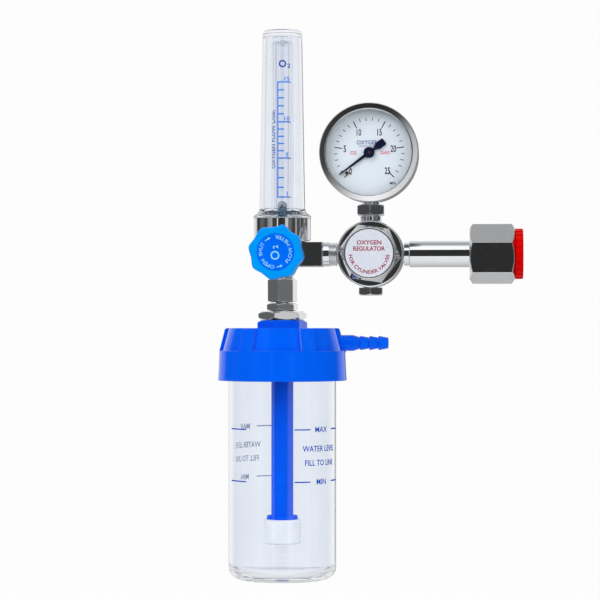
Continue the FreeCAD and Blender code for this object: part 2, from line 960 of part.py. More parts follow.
def valve_body():
    outside = turned([
        (0, cup_bottom),
        (cup_radius, cup_bottom, 1.2),
        (cup_radius, cup_top, 0.5),
        (0, cup_top),
    ])
    bar = Part.makeBox(block_left + block_right, block_size, half_block + cup_bottom + 1,
                       point(-block_left, -half_block, -half_block))
    bar = bar.cut(Part.makeBox(block_right, block_size + 2, cup_bottom + 1 - half_block,
                               point(cup_radius - 3, -half_block - 1, half_block)))
    outside = outside.fuse(bar)
    boss = rod(boss_radius, 0, boss_front)
    boss.rotate(point(0, 0), point(1, 0), 90)
    boss = boss.common(Part.makeBox(40, 40, cup_bottom + half_block, point(-20, -30, -half_block)))
    stub = turned([
        (0, stub_end),
        (stub_thread_radius - 0.6, stub_end),
        (stub_thread_radius, stub_end + 0.6),
        (stub_thread_radius, stub_low),
        (stub_radius, stub_low),
        (stub_radius, -half_block + 1),
        (0, -half_block + 1),
    ])
    outside = outside.fuse(boss).fuse(stub)
    outside = outside.cut(rod(cup_bore_radius, cup_floor, cup_top + 1))
    across = [
        rod(valve_bore_radius, valve_bore_end, boss_front + 1),
        rod(gland_thread_radius, boss_front - gland_thread_length, boss_front + 1),
        rod(jet_radius, jet_end - 1, valve_bore_end + 1),
        rod(inflow_chamber_radius, jet_end - inflow_chamber_depth, jet_end),
    ]
    for hole in across:
        hole.rotate(point(0, 0), point(1, 0), 90)
        outside = outside.cut(hole)
    inflow_y = -jet_end + inflow_chamber_depth / 2
    inflow = rod(inflow_radius, 0, block_right - port_depth + 1)
    inflow.rotate(point(0, 0), point(0, 1), 90)
    inflow.translate(point(0, inflow_y, 0))
    entry = rod(port_thread_radius, block_right - port_depth, block_right + 1)
    entry.rotate(point(0, 0), point(0, 1), 90)
    rise = rod(passage_radius, 0, cup_floor + 1, 0, -4)
    outlet = rod(stub_bore_radius, stub_end - 1, -half_block - 3)
    start = point(-9.4, 2, cup_floor + 1)
    finish = point(-1.0, 1, -half_block - 8)
    back_flow = Part.makeCylinder(1.2, (finish - start).Length, start, finish - start)
    for hole in (inflow, entry, rise, outlet, back_flow):
        outside = outside.cut(hole)
    return on_column(outside)


def gland():
    solid = bevelled_hexagon(gland_flats, boss_front, gland_front, 0, bevel_low=False)
    solid = solid.fuse(rod(gland_thread_radius - thread_gap, boss_front - gland_thread_length, boss_front))
    solid = solid.fuse(rod(gland_journal_radius, gland_front, journal_front))
    solid = solid.cut(rod(spindle_radius + running_gap, 0, journal_front + 1))
    ring_groove = spindle_radius + 2 * spindle_ring_wire + push_gap
    low = boss_front - spindle_ring_depth
    solid = solid.cut(rod(ring_groove, low, low + 2 * spindle_ring_wire))
    clip_floor = gland_journal_radius - clip_groove_depth
    groove = sleeve(gland_journal_radius + 1, clip_floor, clip_back, clip_back + clip_thickness)
    return to_front(solid.cut(groove), column_x)


def spindle_ring():
    """Seal round the spindle, inside the gland."""
    low = boss_front - spindle_ring_depth
    inner = spindle_radius + running_gap
    return to_front(ring_wire(inner + spindle_ring_wire, spindle_ring_wire, low), column_x)


def knob_clip():
    """Open ring that keeps the knob on the gland."""
    inner = gland_journal_radius - clip_groove_depth + running_gap
    side_gap = 0.03
    ring = sleeve(inner + clip_width, inner, clip_back + side_gap, clip_back + clip_thickness - side_gap)
    gap = Part.makeBox(2.4, 2 * inner, clip_thickness + 1, point(-1.2, 0, clip_back - 0.5))
    return to_front(ring.cut(gap), column_x)


def spindle():
    """Needle and its threaded stem, driven by the knob's square socket."""
    tip = valve_bore_end + 0.3
    band_high = boss_front - gland_thread_length - needle_lift - 2 * face_gap
    square_low = journal_front + 0.6
    stem = turned([
        (0, jet_end + 0.6),
        (0.3, jet_end + 0.6),
        (jet_radius + running_gap, tip + 0.4),
        (2.4, tip + 1.6),
        (valve_bore_radius - running_gap, tip + 2.4),
        (valve_bore_radius - running_gap, band_high),
        (spindle_radius, band_high),
        (spindle_radius, square_low),
        (0, square_low),
    ])
    half = drive_square / 2
    end = knob_front - knob_disc_thickness - 1.2 - needle_lift
    drive = plate([(-half, -half), (half, -half), (half, half), (-half, half)], square_low, end)
    return to_front(stem.fuse(drive), column_x)


def knob_outline(radius):
    """Smooth wave of lobes round the knob's rim."""
    points = []
    for i in range(2 * knob_lobes):
        reach = radius if i % 2 == 0 else radius - knob_valley
        x, y = polar(reach, 90 + knob_turn + 180.0 * i / knob_lobes)
        points.append(point(x, y))
    curve = Part.BSplineCurve()
    curve.interpolate(points, PeriodicFlag=True)
    return Part.Wire(curve.toShape())


def knob():
    sections = [(knob_back, 0.0)]
    for step in range(4):
        drop, shrink = polar(knob_edge, 30 * step)
        sections.append((knob_front - knob_edge + shrink, knob_edge - drop))
    rings = []
    for height, shrink in sections:
        ring = knob_outline(knob_radius - shrink)
        ring.translate(point(0, 0, height))
        rings.append(ring)
    solid = Part.makeLoft(rings, True, True)
    inner = knob_radius - knob_valley - knob_skirt_wall
    hollow = sleeve(inner, knob_hub_radius, knob_back - 1, knob_front - 2 * knob_skirt_wall)
    solid = solid.cut(hollow).fuse(rod(knob_hub_radius, hub_back, knob_back))
    solid = solid.cut(rod(knob_disc_radius + push_gap, knob_front - knob_disc_thickness, knob_front + 1))
    solid = solid.cut(rod(gland_journal_radius + running_gap, hub_back - 1, journal_front + face_gap))
    clip_bore = gland_journal_radius - 0.55 + clip_width + face_gap
    solid = solid.cut(rod(clip_bore, clip_back - face_gap, clip_back + clip_thickness + face_gap))
    solid = solid.cut(rod(spindle_radius + face_gap, journal_front, journal_front + needle_lift + 1.0))
    half = drive_square / 2 + running_gap
    socket = plate([(-half, -half), (half, -half), (half, half), (-half, half)],
                   journal_front, knob_front - knob_disc_thickness - 1.0)
    return to_front(solid.cut(socket), column_x)


def knob_disc():
    return to_front(rod(knob_disc_radius, knob_front - knob_disc_thickness, knob_front), column_x)


# Flow tube

def outer_tube():
    base = tube_flange_top + tube_flare_height
    spigot = cup_bore_radius - thread_gap
    foot_inner = spigot - tube_wall
    solid = turned([
        (foot_inner, tube_foot),
        (spigot, tube_foot),
        (spigot, cup_top),
        (tube_flange_radius, cup_top),
        (tube_flange_radius, tube_flange_top),
        (tube_base_radius + 1.2, tube_flange_top + 0.35 * tube_flare_height, 3.0),
        (tube_base_radius, base),
        (tube_top_radius, tube_top, tube_corner),
        (0, tube_top),
        (0, tube_inside_top),
        (tube_top_radius - tube_wall, tube_inside_top, 1.5),
        (tube_base_radius - tube_wall, base),
    ])
    return on_column(solid)


def tube_ring():
    """Seal under the flow tube's foot."""
    radius = cup_bore_radius - thread_gap - tube_wall / 2
    return on_column(ring_wire(radius, tube_ring_wire, cup_floor))


def measuring_tube():
    return on_column(turned([
        (bore_bottom_radius, inner_tube_bottom),
        (inner_tube_radius, inner_tube_bottom),
        (inner_tube_radius, inner_tube_top),
        (bore_top_radius, inner_tube_top),
    ]))


def float_seat():
    solid = turned([
        (0, cup_floor),
        (seat_base_radius, cup_floor),
        (seat_base_radius, inner_tube_bottom),
        (seat_radius, inner_tube_bottom),
        (seat_radius - 0.2, seat_top - 0.8),
        (seat_radius - 0.7, seat_top),
        (0, seat_top),
    ])
    solid = solid.cut(rod(5.6, cup_floor - 1, cup_floor + 1.4))
    return on_column(solid.cut(rod(seat_hole_radius, cup_floor, seat_top + 1)))


def float_ball():
    return on_column(Part.makeSphere(float_radius, point(0, 0, float_centre)))


def float_stop():
    """Slotted plug that closes the measuring tube and keeps the float in."""
    solid = rod(stop_radius, inner_tube_top, tube_inside_top)
    solid = solid.fuse(rod(bore_top_radius - running_gap, inner_tube_top - 1.2, inner_tube_top))
    slot = Part.makeBox(2 * stop_radius + 2, 1.6, 1.6, point(-stop_radius - 1, -0.8, inner_tube_top))
    cross = slot.copy()
    cross.rotate(point(0, 0), point(0, 0, 1), 90)
    solid = solid.cut(slot).cut(cross)
    return on_column(solid.cut(rod(1.0, inner_tube_top - 2, inner_tube_top + 1.5)))


# Humidifier

def union_nut():
    solid = bevelled_hexagon(union_flats, union_bottom, union_top, union_turn)
    lip_top = union_bottom + union_lip
    solid = solid.cut(rod(stub_thread_radius + thread_gap, lip_top, union_top + 1))
    return on_column(solid.cut(rod(tail_neck_radius + thread_gap, union_bottom - 1, lip_top)))


def union_seal():
    inner = stub_bore_radius
    return on_column(sleeve(stub_thread_radius - thread_gap, inner, tail_flange_top, stub_end))


def tailpiece():
    thread = tail_thread_radius
    spigot_low = inner_nut_bottom - tail_spigot_length
    flange = stub_thread_radius - thread_gap
    solid = turned([
        (0, spigot_low),
        (tail_spigot_radius, spigot_low),
        (tail_spigot_radius, inner_nut_bottom),
        (thread, inner_nut_bottom),
        (thread, thin_hex_bottom),
        (thread + 0.6, thin_hex_top),
        (tail_neck_radius, thin_hex_top),
        (tail_neck_radius, tail_flange_low),
        (flange, tail_flange_low),
        (flange, tail_flange_top),
        (0, tail_flange_top),
    ])
    solid = solid.fuse(bevelled_hexagon(thin_hex_flats, thin_hex_bottom, thin_hex_top, thin_hex_turn))
    return on_column(solid.cut(rod(tail_bore_radius, spigot_low - 1, tail_flange_top + 1)))


def lid_nut():
    solid = bevelled_hexagon(lid_nut_flats, lid_nut_bottom, lid_nut_top, lid_nut_turn)
    return on_column(solid.cut(rod(tail_thread_radius + push_gap, lid_nut_bottom - 1, lid_nut_top + 1)))


def inner_nut():
    solid = bevelled_hexagon(1.73 * inner_nut_radius, inner_nut_bottom, inner_nut_top, 0, bevel_high=False)
    return on_column(solid.cut(rod(tail_thread_radius + push_gap, inner_nut_bottom - 1, inner_nut_top + 1)))


def stem_gasket():
    return on_column(sleeve(gasket_radius, tail_thread_radius + push_gap, inner_nut_top, lid_inside))


def nozzle():
    """Hose nozzle, drawn along Z from the bottle's axis outwards."""
    start = bottle_radius - 3
    barb = (nozzle_end - 1.4 - nozzle_waist_end) / nozzle_barbs
    corners = [(0, start), (nozzle_shank_radius, start), (nozzle_shank_radius, nozzle_shank_end, 0.8)]
    corners.append((nozzle_waist_radius, nozzle_waist_end))
    for i in range(nozzle_barbs):
        low = nozzle_waist_end + 0.6 + barb * i
        corners.append((nozzle_barb_radius, low + 0.5))
        corners.append((nozzle_barb_root, low + 0.97 * barb))
    corners.append((nozzle_barb_root + 0.2, nozzle_end, 0.8))
    corners.append((0, nozzle_end))
    return turned(corners)


def lid():
    corner = 1.6
    outside = turned([
        (0, lid_bottom),
        (lid_skirt_radius - 0.5, lid_bottom),
        (lid_skirt_radius + 0.25, lid_bottom + 0.5),
        (lid_skirt_radius, lid_bottom + lid_lip),
        (lid_ledge_radius, lid_ledge),
        (lid_top_radius, lid_top, corner),
        (0, lid_top),
    ])
    low_radius = lid_ledge_radius - lid_panel_depth
    high_radius = lid_top_radius - lid_panel_depth
    band = turned([
        (low_radius, lid_ledge),
        (lid_skirt_radius + 2, lid_ledge),
        (lid_skirt_radius + 2, lid_top + 1),
        (high_radius - 0.6, lid_top + 1),
        (high_radius, lid_top - 1),
    ])
    reach = 2 * lid_skirt_radius
    half = lid_panel_angle / 2
    for i in range(lid_panels):
        wedge = plate([(0, 0), polar(reach, -half), polar(reach, half)], lid_ledge - 1, lid_top + 2)
        wedge.rotate(point(0, 0), point(0, 0, 1), 30 + 360.0 * i / lid_panels)
        outside = outside.cut(band.common(wedge))
    boss = bevelled_hexagon(lid_boss_flats, lid_top - 1, boss_top, lid_nut_turn, bevel_low=False)
    spout = nozzle()
    spout.rotate(point(0, 0), point(0, 1), 90)
    spout.translate(point(0, 0, nozzle_z))
    block_inner = bottle_radius - 1
    block_length = lid_skirt_radius - 0.4 - block_inner
    block_width = 1.7 * nozzle_shank_radius
    block_low = point(block_inner, -block_width / 2, lid_ledge - 1)
    block = Part.makeBox(block_length, block_width, nozzle_z - lid_ledge + 1, block_low)
    outside = outside.fuse(boss).fuse(block).fuse(spout)
    cavity = turned([
        (0, lid_bottom - 1),
        (lid_bore_radius + 1.0, lid_bottom - 1),
        (lid_bore_radius, lid_bottom + 1),
        (lid_bore_radius, lid_land),
        (bottle_radius - bottle_wall, lid_land),
        (bottle_radius - bottle_wall - 1.2, lid_inside, 1.5),
        (0, lid_inside),
    ])
    outside = outside.cut(cavity)
    outside = outside.cut(rod(tail_thread_radius + push_gap, lid_inside - 1, boss_top + 1))
    duct = rod(nozzle_bore_radius, bottle_radius - bottle_wall - 4, nozzle_end + 1)
    duct.rotate(point(0, 0), point(0, 1), 90)
    duct.translate(point(0, 0, nozzle_z))
    return on_column(outside.cut(duct))


def lid_gasket():
    inner = bottle_radius - bottle_wall
    return on_column(sleeve(lid_bore_radius - thread_gap, inner, rim_top + face_gap, lid_land))


def bottle():
    inner = bottle_radius - bottle_wall
    floor = bottle_bottom + bottle_base
    return on_column(turned([
        (0, bottle_bottom + bottle_punt),
        (0.6 * bottle_foot_radius, bottle_bottom + 0.7 * bottle_punt),
        (bottle_foot_radius, bottle_bottom),
        (bottle_radius, bottle_bottom, bottle_corner),
        (bottle_radius, rim_top - neck_lip_height - neck_band_height - 1.5),
        (neck_band_radius, rim_top - neck_lip_height - neck_band_height),
        (neck_band_radius, rim_top - neck_lip_height),
        (neck_lip_radius, rim_top - neck_lip_height + 0.8),
        (neck_lip_radius, rim_top),
        (inner, rim_top),
        (inner, floor, bottle_corner - bottle_wall),
        (0, floor - 0.6),
    ]))


def dip_tube():
    solid = turned([
        (0, diffuser_top - dip_spigot_length),
        (dip_spigot_radius, diffuser_top - dip_spigot_length),
        (dip_spigot_radius, diffuser_top),
        (dip_flange_radius, diffuser_top),
        (dip_flange_radius, dip_bottom, 0.5),
        (dip_tube_radius, dip_bottom, 0.5),
        (dip_tube_radius, dip_top),
        (0, dip_top),
    ])
    socket = rod(tail_spigot_radius + push_gap, inner_nut_bottom - tail_spigot_length - 0.5, dip_top + 1)
    bore = rod(dip_bore_radius, diffuser_top - dip_spigot_length - 1, dip_top)
    return on_column(solid.cut(bore).cut(socket))


def diffuser():
    low = diffuser_top - diffuser_height
    solid = turned([
        (0, low),
        (diffuser_radius, low, diffuser_corner),
        (diffuser_radius, diffuser_top, diffuser_corner),
        (0, diffuser_top),
    ])
    socket = rod(dip_spigot_radius + push_gap, low + diffuser_wall, diffuser_top + 1)
    return on_column(solid.cut(socket))


def build():
    """Makes each piece once, by the name of its node."""
    makers = [
        inlet_nut, inlet_stem, inlet_filter, seal_washer, dust_plug,
        regulator_body, bonnet, label_disc, diaphragm, spring_plate, range_spring,
        poppet, poppet_spring, rear_plug, relief_body, relief_poppet, relief_spring, nipple,
        gauge_socket, gauge_case, gauge_bezel, gauge_glass, gauge_dial, stop_pin, pointer,
        pointer_arbor, sector_gear, movement_pillars, pressure_coil, coil_tip, link,
        valve_body, gland, spindle_ring, knob_clip, spindle, knob, knob_disc,
        outer_tube, tube_ring, measuring_tube, float_seat, float_ball, float_stop,
        union_nut, union_seal, tailpiece, lid_nut, inner_nut, stem_gasket,
        lid, lid_gasket, bottle, dip_tube, diffuser,
    ]
    pieces = {maker.__name__: maker() for maker in makers}
    pieces["movement_back_plate"] = movement_plate(movement_back)
    pieces["movement_front_plate"] = movement_plate(movement_front)
    return pieces


def main():
    os.makedirs("parts", exist_ok=True)
    for name, shape in build().items():
        shape.exportStep("parts/" + name + ".step")


main()
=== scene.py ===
"""Oxygen flowmeter: its finishes, its printing and the studio it stands in.

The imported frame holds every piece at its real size. This file gives each one its
material, prints the scales and words on them, and sets floor, lights and camera.
Sizes are in metres, written as millimetres times MM, in the frame's own axes:
-Y is the front, +Z is up, and +X leaves through the inlet nut.
"""

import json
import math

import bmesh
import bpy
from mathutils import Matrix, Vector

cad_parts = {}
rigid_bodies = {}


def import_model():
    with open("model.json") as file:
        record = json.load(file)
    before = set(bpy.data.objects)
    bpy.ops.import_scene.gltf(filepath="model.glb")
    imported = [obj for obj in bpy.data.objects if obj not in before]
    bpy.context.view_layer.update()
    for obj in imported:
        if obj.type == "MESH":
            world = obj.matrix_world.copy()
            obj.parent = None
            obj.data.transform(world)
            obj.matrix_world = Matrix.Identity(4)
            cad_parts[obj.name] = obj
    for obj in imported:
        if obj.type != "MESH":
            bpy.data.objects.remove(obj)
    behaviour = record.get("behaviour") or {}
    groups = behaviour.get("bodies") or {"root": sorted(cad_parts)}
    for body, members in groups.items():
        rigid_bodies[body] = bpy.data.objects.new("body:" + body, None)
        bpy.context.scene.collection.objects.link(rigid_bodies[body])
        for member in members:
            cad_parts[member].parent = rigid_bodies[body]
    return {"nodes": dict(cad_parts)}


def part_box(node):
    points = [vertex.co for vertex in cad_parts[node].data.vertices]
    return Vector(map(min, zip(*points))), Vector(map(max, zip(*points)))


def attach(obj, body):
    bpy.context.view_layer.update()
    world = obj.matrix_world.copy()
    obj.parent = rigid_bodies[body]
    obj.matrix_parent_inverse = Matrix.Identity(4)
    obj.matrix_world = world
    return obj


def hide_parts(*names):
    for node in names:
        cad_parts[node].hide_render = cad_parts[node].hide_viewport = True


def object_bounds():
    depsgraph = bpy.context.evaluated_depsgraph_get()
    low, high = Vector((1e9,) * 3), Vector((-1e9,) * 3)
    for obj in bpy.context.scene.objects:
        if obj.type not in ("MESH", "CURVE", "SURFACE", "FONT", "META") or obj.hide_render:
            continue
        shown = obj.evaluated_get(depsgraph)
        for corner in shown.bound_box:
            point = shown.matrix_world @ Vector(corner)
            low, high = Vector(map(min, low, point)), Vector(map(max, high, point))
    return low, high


bl_info = {
    "name": "Oxygen Flowmeter",
    "version": (1, 0, 0),
    "blender": (4, 5, 0),
    "location": "3D View > Sidebar > Flowmeter",
    "description": "Dresses the oxygen flowmeter and sets its studio",
    "category": "Object",
}

for leftover in list(bpy.data.objects):
    bpy.data.objects.remove(leftover)

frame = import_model()
cad_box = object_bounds()

MM = 0.001


# Sizes read from the frame

def middle(node):
    """The middle of a CAD node's box."""
    low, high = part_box(node)
    return (low + high) / 2


def half_width(node):
    """Half a CAD node's width along X: the radius of a round one."""
    low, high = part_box(node)
    return (high.x - low.x) / 2


def front_of(node):
    """The Y of a CAD node's front face."""
    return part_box(node)[0].y


# Colours and nodes

def linear(hex_colour):
    """An sRGB colour written #RRGGBB, as the linear RGBA that Blender works in."""
    parts = [int(hex_colour[i:i + 2], 16) / 255 for i in (1, 3, 5)]
    parts = [p / 12.92 if p <= 0.04045 else ((p + 0.055) / 1.055) ** 2.4 for p in parts]
    return (*parts, 1.0)


def per_metre(size_mm):
    """The Scale of a texture whose features are this many millimetres across."""
    return 1.0 / (size_mm * MM)


def add_node(tree, kind, inputs=None, **settings):
    """Adds a node with its settings.

    An input is a value, the output that feeds it, or a node, whose first output in use
    feeds it.
    """
    node = tree.nodes.new(kind)
    for name, value in settings.items():
        setattr(node, name, value)
    for name, value in (inputs or {}).items():
        if isinstance(value, bpy.types.Node):
            value = next(output for output in value.outputs if output.enabled)
        if isinstance(value, bpy.types.NodeSocket):
            tree.links.new(value, node.inputs[name])
        else:
            node.inputs[name].default_value = value
    return node


def surface(name, **inputs):
    """A new material with a Principled shader: returns it, its tree and the shader."""
    material = bpy.data.materials.new(name)
    material.use_nodes = True
    tree = material.node_tree
    tree.nodes.clear()
    values = {key.replace("_", " "): value for key, value in inputs.items()}
    shader = add_node(tree, "ShaderNodeBsdfPrincipled", values)
    add_node(tree, "ShaderNodeOutputMaterial", {"Surface": shader})
    return material, tree, shader


def grain(tree, size_mm, low, high, detail=2.0, stretch=(1, 1, 1)):
    """Noise with features this many millimetres across, spread from low to high.

    A stretch above 1 shortens them along that axis.
    """
    place = add_node(tree, "ShaderNodeTexCoord").outputs["Object"]
    mapping = add_node(tree, "ShaderNodeMapping", {"Vector": place, "Scale": stretch})
    noise = add_node(tree, "ShaderNodeTexNoise", {
        "Vector": mapping, "Scale": per_metre(size_mm), "Detail": detail})
    # Noise seldom leaves 0.3 to 0.7.
    return add_node(tree, "ShaderNodeMapRange", {
        "Value": noise, "From Min": 0.3, "From Max": 0.7,
        "To Min": low, "To Max": high}).outputs["Result"]


def finished(name, colours, patch_mm, gloss, haze_mm, bump, rounding_mm=0.0, **inputs):
    """A material whose colour, gloss and surface all wander a little, as a made thing's do.

    `colours` are the two it wanders between, in patches of patch_mm. `gloss` is the
    lowest and highest roughness, in patches of haze_mm. `bump` is the grain's size and
    depth in millimetres and its stretch along each axis. rounding_mm softens the edges.
    """
    material, tree, shader = surface(name, **inputs)
    # A Mix node's colours are its inputs 6 and 7 and its output 2.
    mix = add_node(tree, "ShaderNodeMix", {"Factor": grain(tree, patch_mm, 0, 1)},
                   data_type="RGBA")
    mix.inputs[6].default_value, mix.inputs[7].default_value = colours
    tree.links.new(mix.outputs[2], shader.inputs["Base Color"])
    tree.links.new(grain(tree, haze_mm, *gloss, detail=4.0), shader.inputs["Roughness"])
    size_mm, depth_mm, stretch = bump
    raised = add_node(tree, "ShaderNodeBump", {
        "Height": grain(tree, size_mm, 0, 1, stretch=stretch), "Distance": depth_mm * MM,
        "Strength": 1.0})
    if rounding_mm:
        edges = add_node(tree, "ShaderNodeBevel", {"Radius": rounding_mm * MM}, samples=8)
        tree.links.new(edges.outputs["Normal"], raised.inputs["Normal"])
    tree.links.new(raised.outputs["Normal"], shader.inputs["Normal"])
    return material


def node_of(material, kind):
    """The node of this type in a material."""
    return next(node for node in material.node_tree.nodes if node.type == kind)


def shade(colour, factor):
    """A colour made darker or lighter."""
    return (*[min(1.0, part * factor) for part in colour[:3]], 1.0)


def either_side(colour, change):
    """Two colours a little darker and a little lighter than this one."""
    return shade(colour, 1 - change), shade(colour, 1 + change)


# Finishes

EVEN = (1, 1, 1)
DOWN_THE_WALL = (1, 1, 0.06)


def chrome_plate(colours):
    # Nickel and chrome over machined brass: a mirror, a little hazy where it was buffed
    # by hand, with edges that the buffing wheel rounded.
    return finished("chrome_plate_buffed", either_side(colours.chrome, 0.02), 8.0,
                    (0.02, 0.06), 3.0, (7.0, 0.006, EVEN), 0.5, Metallic=1.0)


def turned_brass(colours):
    # Free-cutting brass off the lathe: fine rings of the tool's feed, slightly tarnished.
    return finished("brass_turned", either_side(colours.brass, 0.15), 4.0,
                    (0.18, 0.32), 1.5, (0.3, 0.01, (0.2, 1, 0.2)), Metallic=1.0)


def spring_steel(colours):
    # Drawn stainless wire and a polished ball: grey, satin, with faint drawing lines.
    return finished("stainless_steel_drawn", either_side(colours.steel, 0.05), 2.0,
                    (0.12, 0.25), 0.8, (0.4, 0.004, EVEN), Metallic=1.0)


def moulded_plastic(name, colour, gloss, sheen=0.2, rounding_mm=0.35):
    # Injection moulded: the polished mould leaves a glossy skin with a faint orange peel
    # and slow changes of gloss where the melt flowed. The pigment tints its highlights.
    tint = (*[0.1 + 0.9 * math.sqrt(part) for part in colour[:3]], 1.0)
    return finished(name, either_side(colour, 0.05), 14.0,
                    (gloss, gloss + 0.08), 6.0, (0.5, 0.006, EVEN), rounding_mm,
                    IOR=1.49, Specular_IOR_Level=sheen, Specular_Tint=tint)


def clear_plastic(name, tint, index, streak_mm):
    # Moulded clear: hardly any haze, with long faint flow streaks down the wall.
    material = finished(name, either_side(tint, 0.01), 20.0,
                        (0.0, 0.01), 5.0, (streak_mm, 0.001, DOWN_THE_WALL),
                        IOR=index, Transmission_Weight=1.0)
    # Light caught in a thick corner would run on up the wall and come out dark. After nine
    # turns it leaves straight, so that the corners stay clear.
    most_turns = 9
    tree = material.node_tree
    turns = add_node(tree, "ShaderNodeLightPath").outputs["Ray Depth"]
    few = add_node(tree, "ShaderNodeMath", {0: turns, 1: most_turns + 0.5}, operation="LESS_THAN")
    tree.links.new(few.outputs["Value"], node_of(material, "BSDF_PRINCIPLED").inputs["Alpha"])
    return material


def ink(name, colour):
    # Screen-printed ink: matt, a touch uneven where the mesh left it thin.
    return finished(name, either_side(colour, 0.12), 0.35,
                    (0.5, 0.6), 1.0, (0.2, 0.004, EVEN), IOR=1.5, Specular_IOR_Level=0.04)


def enamel(name, colour, gloss, sheen=0.3):
    # Stoved enamel on sheet metal: smooth, with a slight orange peel.
    return finished(name, either_side(colour, 0.015), 9.0,
                    (gloss, gloss + 0.06), 3.0, (0.6, 0.003, EVEN),
                    IOR=1.5, Specular_IOR_Level=sheen)


def rubber(name, colour):
    # Pressed rubber: dull, finely grained, with a breath of talc.
    return finished(name, either_side(colour, 0.2), 0.8,
                    (0.6, 0.8), 2.0, (0.25, 0.02, EVEN), IOR=1.5)


def sintered_plastic(colour):
    # Polyethylene beads fused in a mould: white, grainy and open, letting some light in.
    # The beads are drawn at 0.6 mm, about twice their size, so that they show.
    return finished("polyethylene_sintered", either_side(colour, 0.04), 1.2,
                    (0.7, 0.85), 1.0, (0.6, 0.1, EVEN), IOR=1.5,
                    Subsurface_Weight=0.35, Subsurface_Scale=2.0 * MM)


def dress(material, *names):
    """Gives these CAD nodes the material."""
    for name in names:
        for slot in frame["nodes"][name].material_slots:
            slot.material = material


def hide_from(rays, *names):
    """Keeps these CAD nodes out of one kind of ray, shadow or glossy."""
    for name in names:
        setattr(frame["nodes"][name], f"visible_{rays}", False)


# Pieces

def in_scene(name, data):
    """A new object with this data, linked to the scene."""
    item = bpy.data.objects.new(name, data)
    bpy.context.scene.collection.objects.link(item)
    return item


def new_piece(name, mesh, material, body):
    """Makes a mesh, whose place is in its points, a finished piece on a body."""
    mesh.materials.clear()
    mesh.materials.append(material)
    piece = in_scene(name, mesh)
    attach(piece, body)
    return piece


def built(work, name, outwards=True):
    """The mesh that this work holds, with its faces turned outwards if asked."""
    if outwards:
        bmesh.ops.recalc_face_normals(work, faces=work.faces)
    mesh = bpy.data.meshes.new(name)
    work.to_mesh(mesh)
    work.free()
    return mesh


def plain_mesh(holder):
    """The finished mesh of an object with a modifier or a curve."""
    graph = bpy.context.evaluated_depsgraph_get()
    return bpy.data.meshes.new_from_object(holder.evaluated_get(graph))


def joined(name, meshes):
    """One mesh from several, with doubles merged."""
    work = bmesh.new()
    for mesh in meshes:
        work.from_mesh(mesh)
        bpy.data.meshes.remove(mesh)
    bmesh.ops.remove_doubles(work, verts=work.verts, dist=0.002 * MM)
    return built(work, name)


def placed(mesh, place):
    """Moves every point of a mesh to place(x, y, z)."""
    for vertex in mesh.vertices:
        vertex.co = place(*vertex.co)
    return mesh


def on_face(x, y, z):
    """Puts flat print on a face towards the front, centred on this point."""
    return lambda u, v, w: Vector((x + u, y - w, z + v))


def round_wall(axis, radius, turn=0.0):
    """Wraps flat print round an upright wall; turn, in radians, moves it towards +X."""
    def place(u, v, w):
        angle = turn + u / radius
        reach = radius + w
        return Vector((axis.x + reach * math.sin(angle), axis.y - reach * math.cos(angle), v))
    return place


def round_ring(radius, angle, inward=False):
    """Bends a line of print round a circle in its own plane, centred at this angle.

    The tops of the letters point outwards, or inwards if asked. Angles run
    anticlockwise from the right, as seen from the front.
    """
    def place(u, v, w):
        reach = radius - v if inward else radius + v
        at = angle + u / radius if inward else angle - u / radius
        return Vector((reach * math.cos(at), reach * math.sin(at), w))
    return place


# How far the strokes are thickened, on letters one unit high.
PLAIN, BOLD, HEAVY = 0.012, 0.02, 0.03


def lettering(words, height, width, thickness, weight=PLAIN):
    """A line of plain lettering in its own plane, centred, with this letter height.

    `width` narrows or widens the letters, and `weight` thickens their strokes.
    """
    curve = bpy.data.curves.new("lettering", "FONT")
    curve.body = words
    curve.size = 1.0
    curve.resolution_u = 3
    curve.extrude = 0.5
    curve.offset = weight
    holder = in_scene("lettering", curve)
    mesh = plain_mesh(holder)
    bpy.data.objects.remove(holder)
    bpy.data.curves.remove(curve)
    lows = [min(v.co[i] for v in mesh.vertices) for i in range(2)]
    highs = [max(v.co[i] for v in mesh.vertices) for i in range(2)]
    scale = height / (highs[1] - lows[1])
    centre = [(low + high) / 2 for low, high in zip(lows, highs)]
    return placed(mesh, lambda u, v, w: Vector((
        (u - centre[0]) * scale * width, (v - centre[1]) * scale, w * thickness)))


def bar(width, height, thickness, steps=1):
    """A printed bar in its own plane, centred, divided along its width so that it bends."""
    work = bmesh.new()
    bmesh.ops.create_grid(work, x_segments=steps, y_segments=1, size=0.5)
    for vertex in work.verts:
        vertex.co.x *= width
        vertex.co.y *= height
        vertex.co.z = -thickness / 2
    top = bmesh.ops.extrude_face_region(work, geom=work.faces[:])
    raised = [item for item in top["geom"] if isinstance(item, bmesh.types.BMVert)]
    bmesh.ops.translate(work, verts=raised, vec=(0, 0, thickness))
    return built(work, "bar")


def printed(name, parts, place, material, body):
    """Joins flat print, puts it in place and makes it a finished piece."""
    new_piece(name, placed(joined(name, parts), place), material, body)


def turned(profile, axis, segments=160):
    """A ring turned about a line through `axis` towards the front.

    `profile` is a closed outline of (radius, y) points.
    """
    work = bmesh.new()
    rings = []
    for i in range(segments):
        angle = 2 * math.pi * i / segments
        across, up = math.cos(angle), math.sin(angle)
        rings.append([work.verts.new((axis.x + r * across, y, axis.z + r * up))
                      for r, y in profile])
    for i, ring in enumerate(rings):
        following = rings[(i + 1) % segments]
        for j in range(len(profile)):
            k = (j + 1) % len(profile)
            work.faces.new([ring[j], ring[k], following[k], following[j]])
    mesh = built(work, "turned")
    mesh.shade_smooth()
    mesh.set_sharp_from_angle(angle=math.radians(20))
    return mesh


def moved(mesh, u, v):
    """Slides flat print in its own plane."""
    return placed(mesh, lambda x, y, z: Vector((x + u, y + v, z)))


# Geometry Nodes

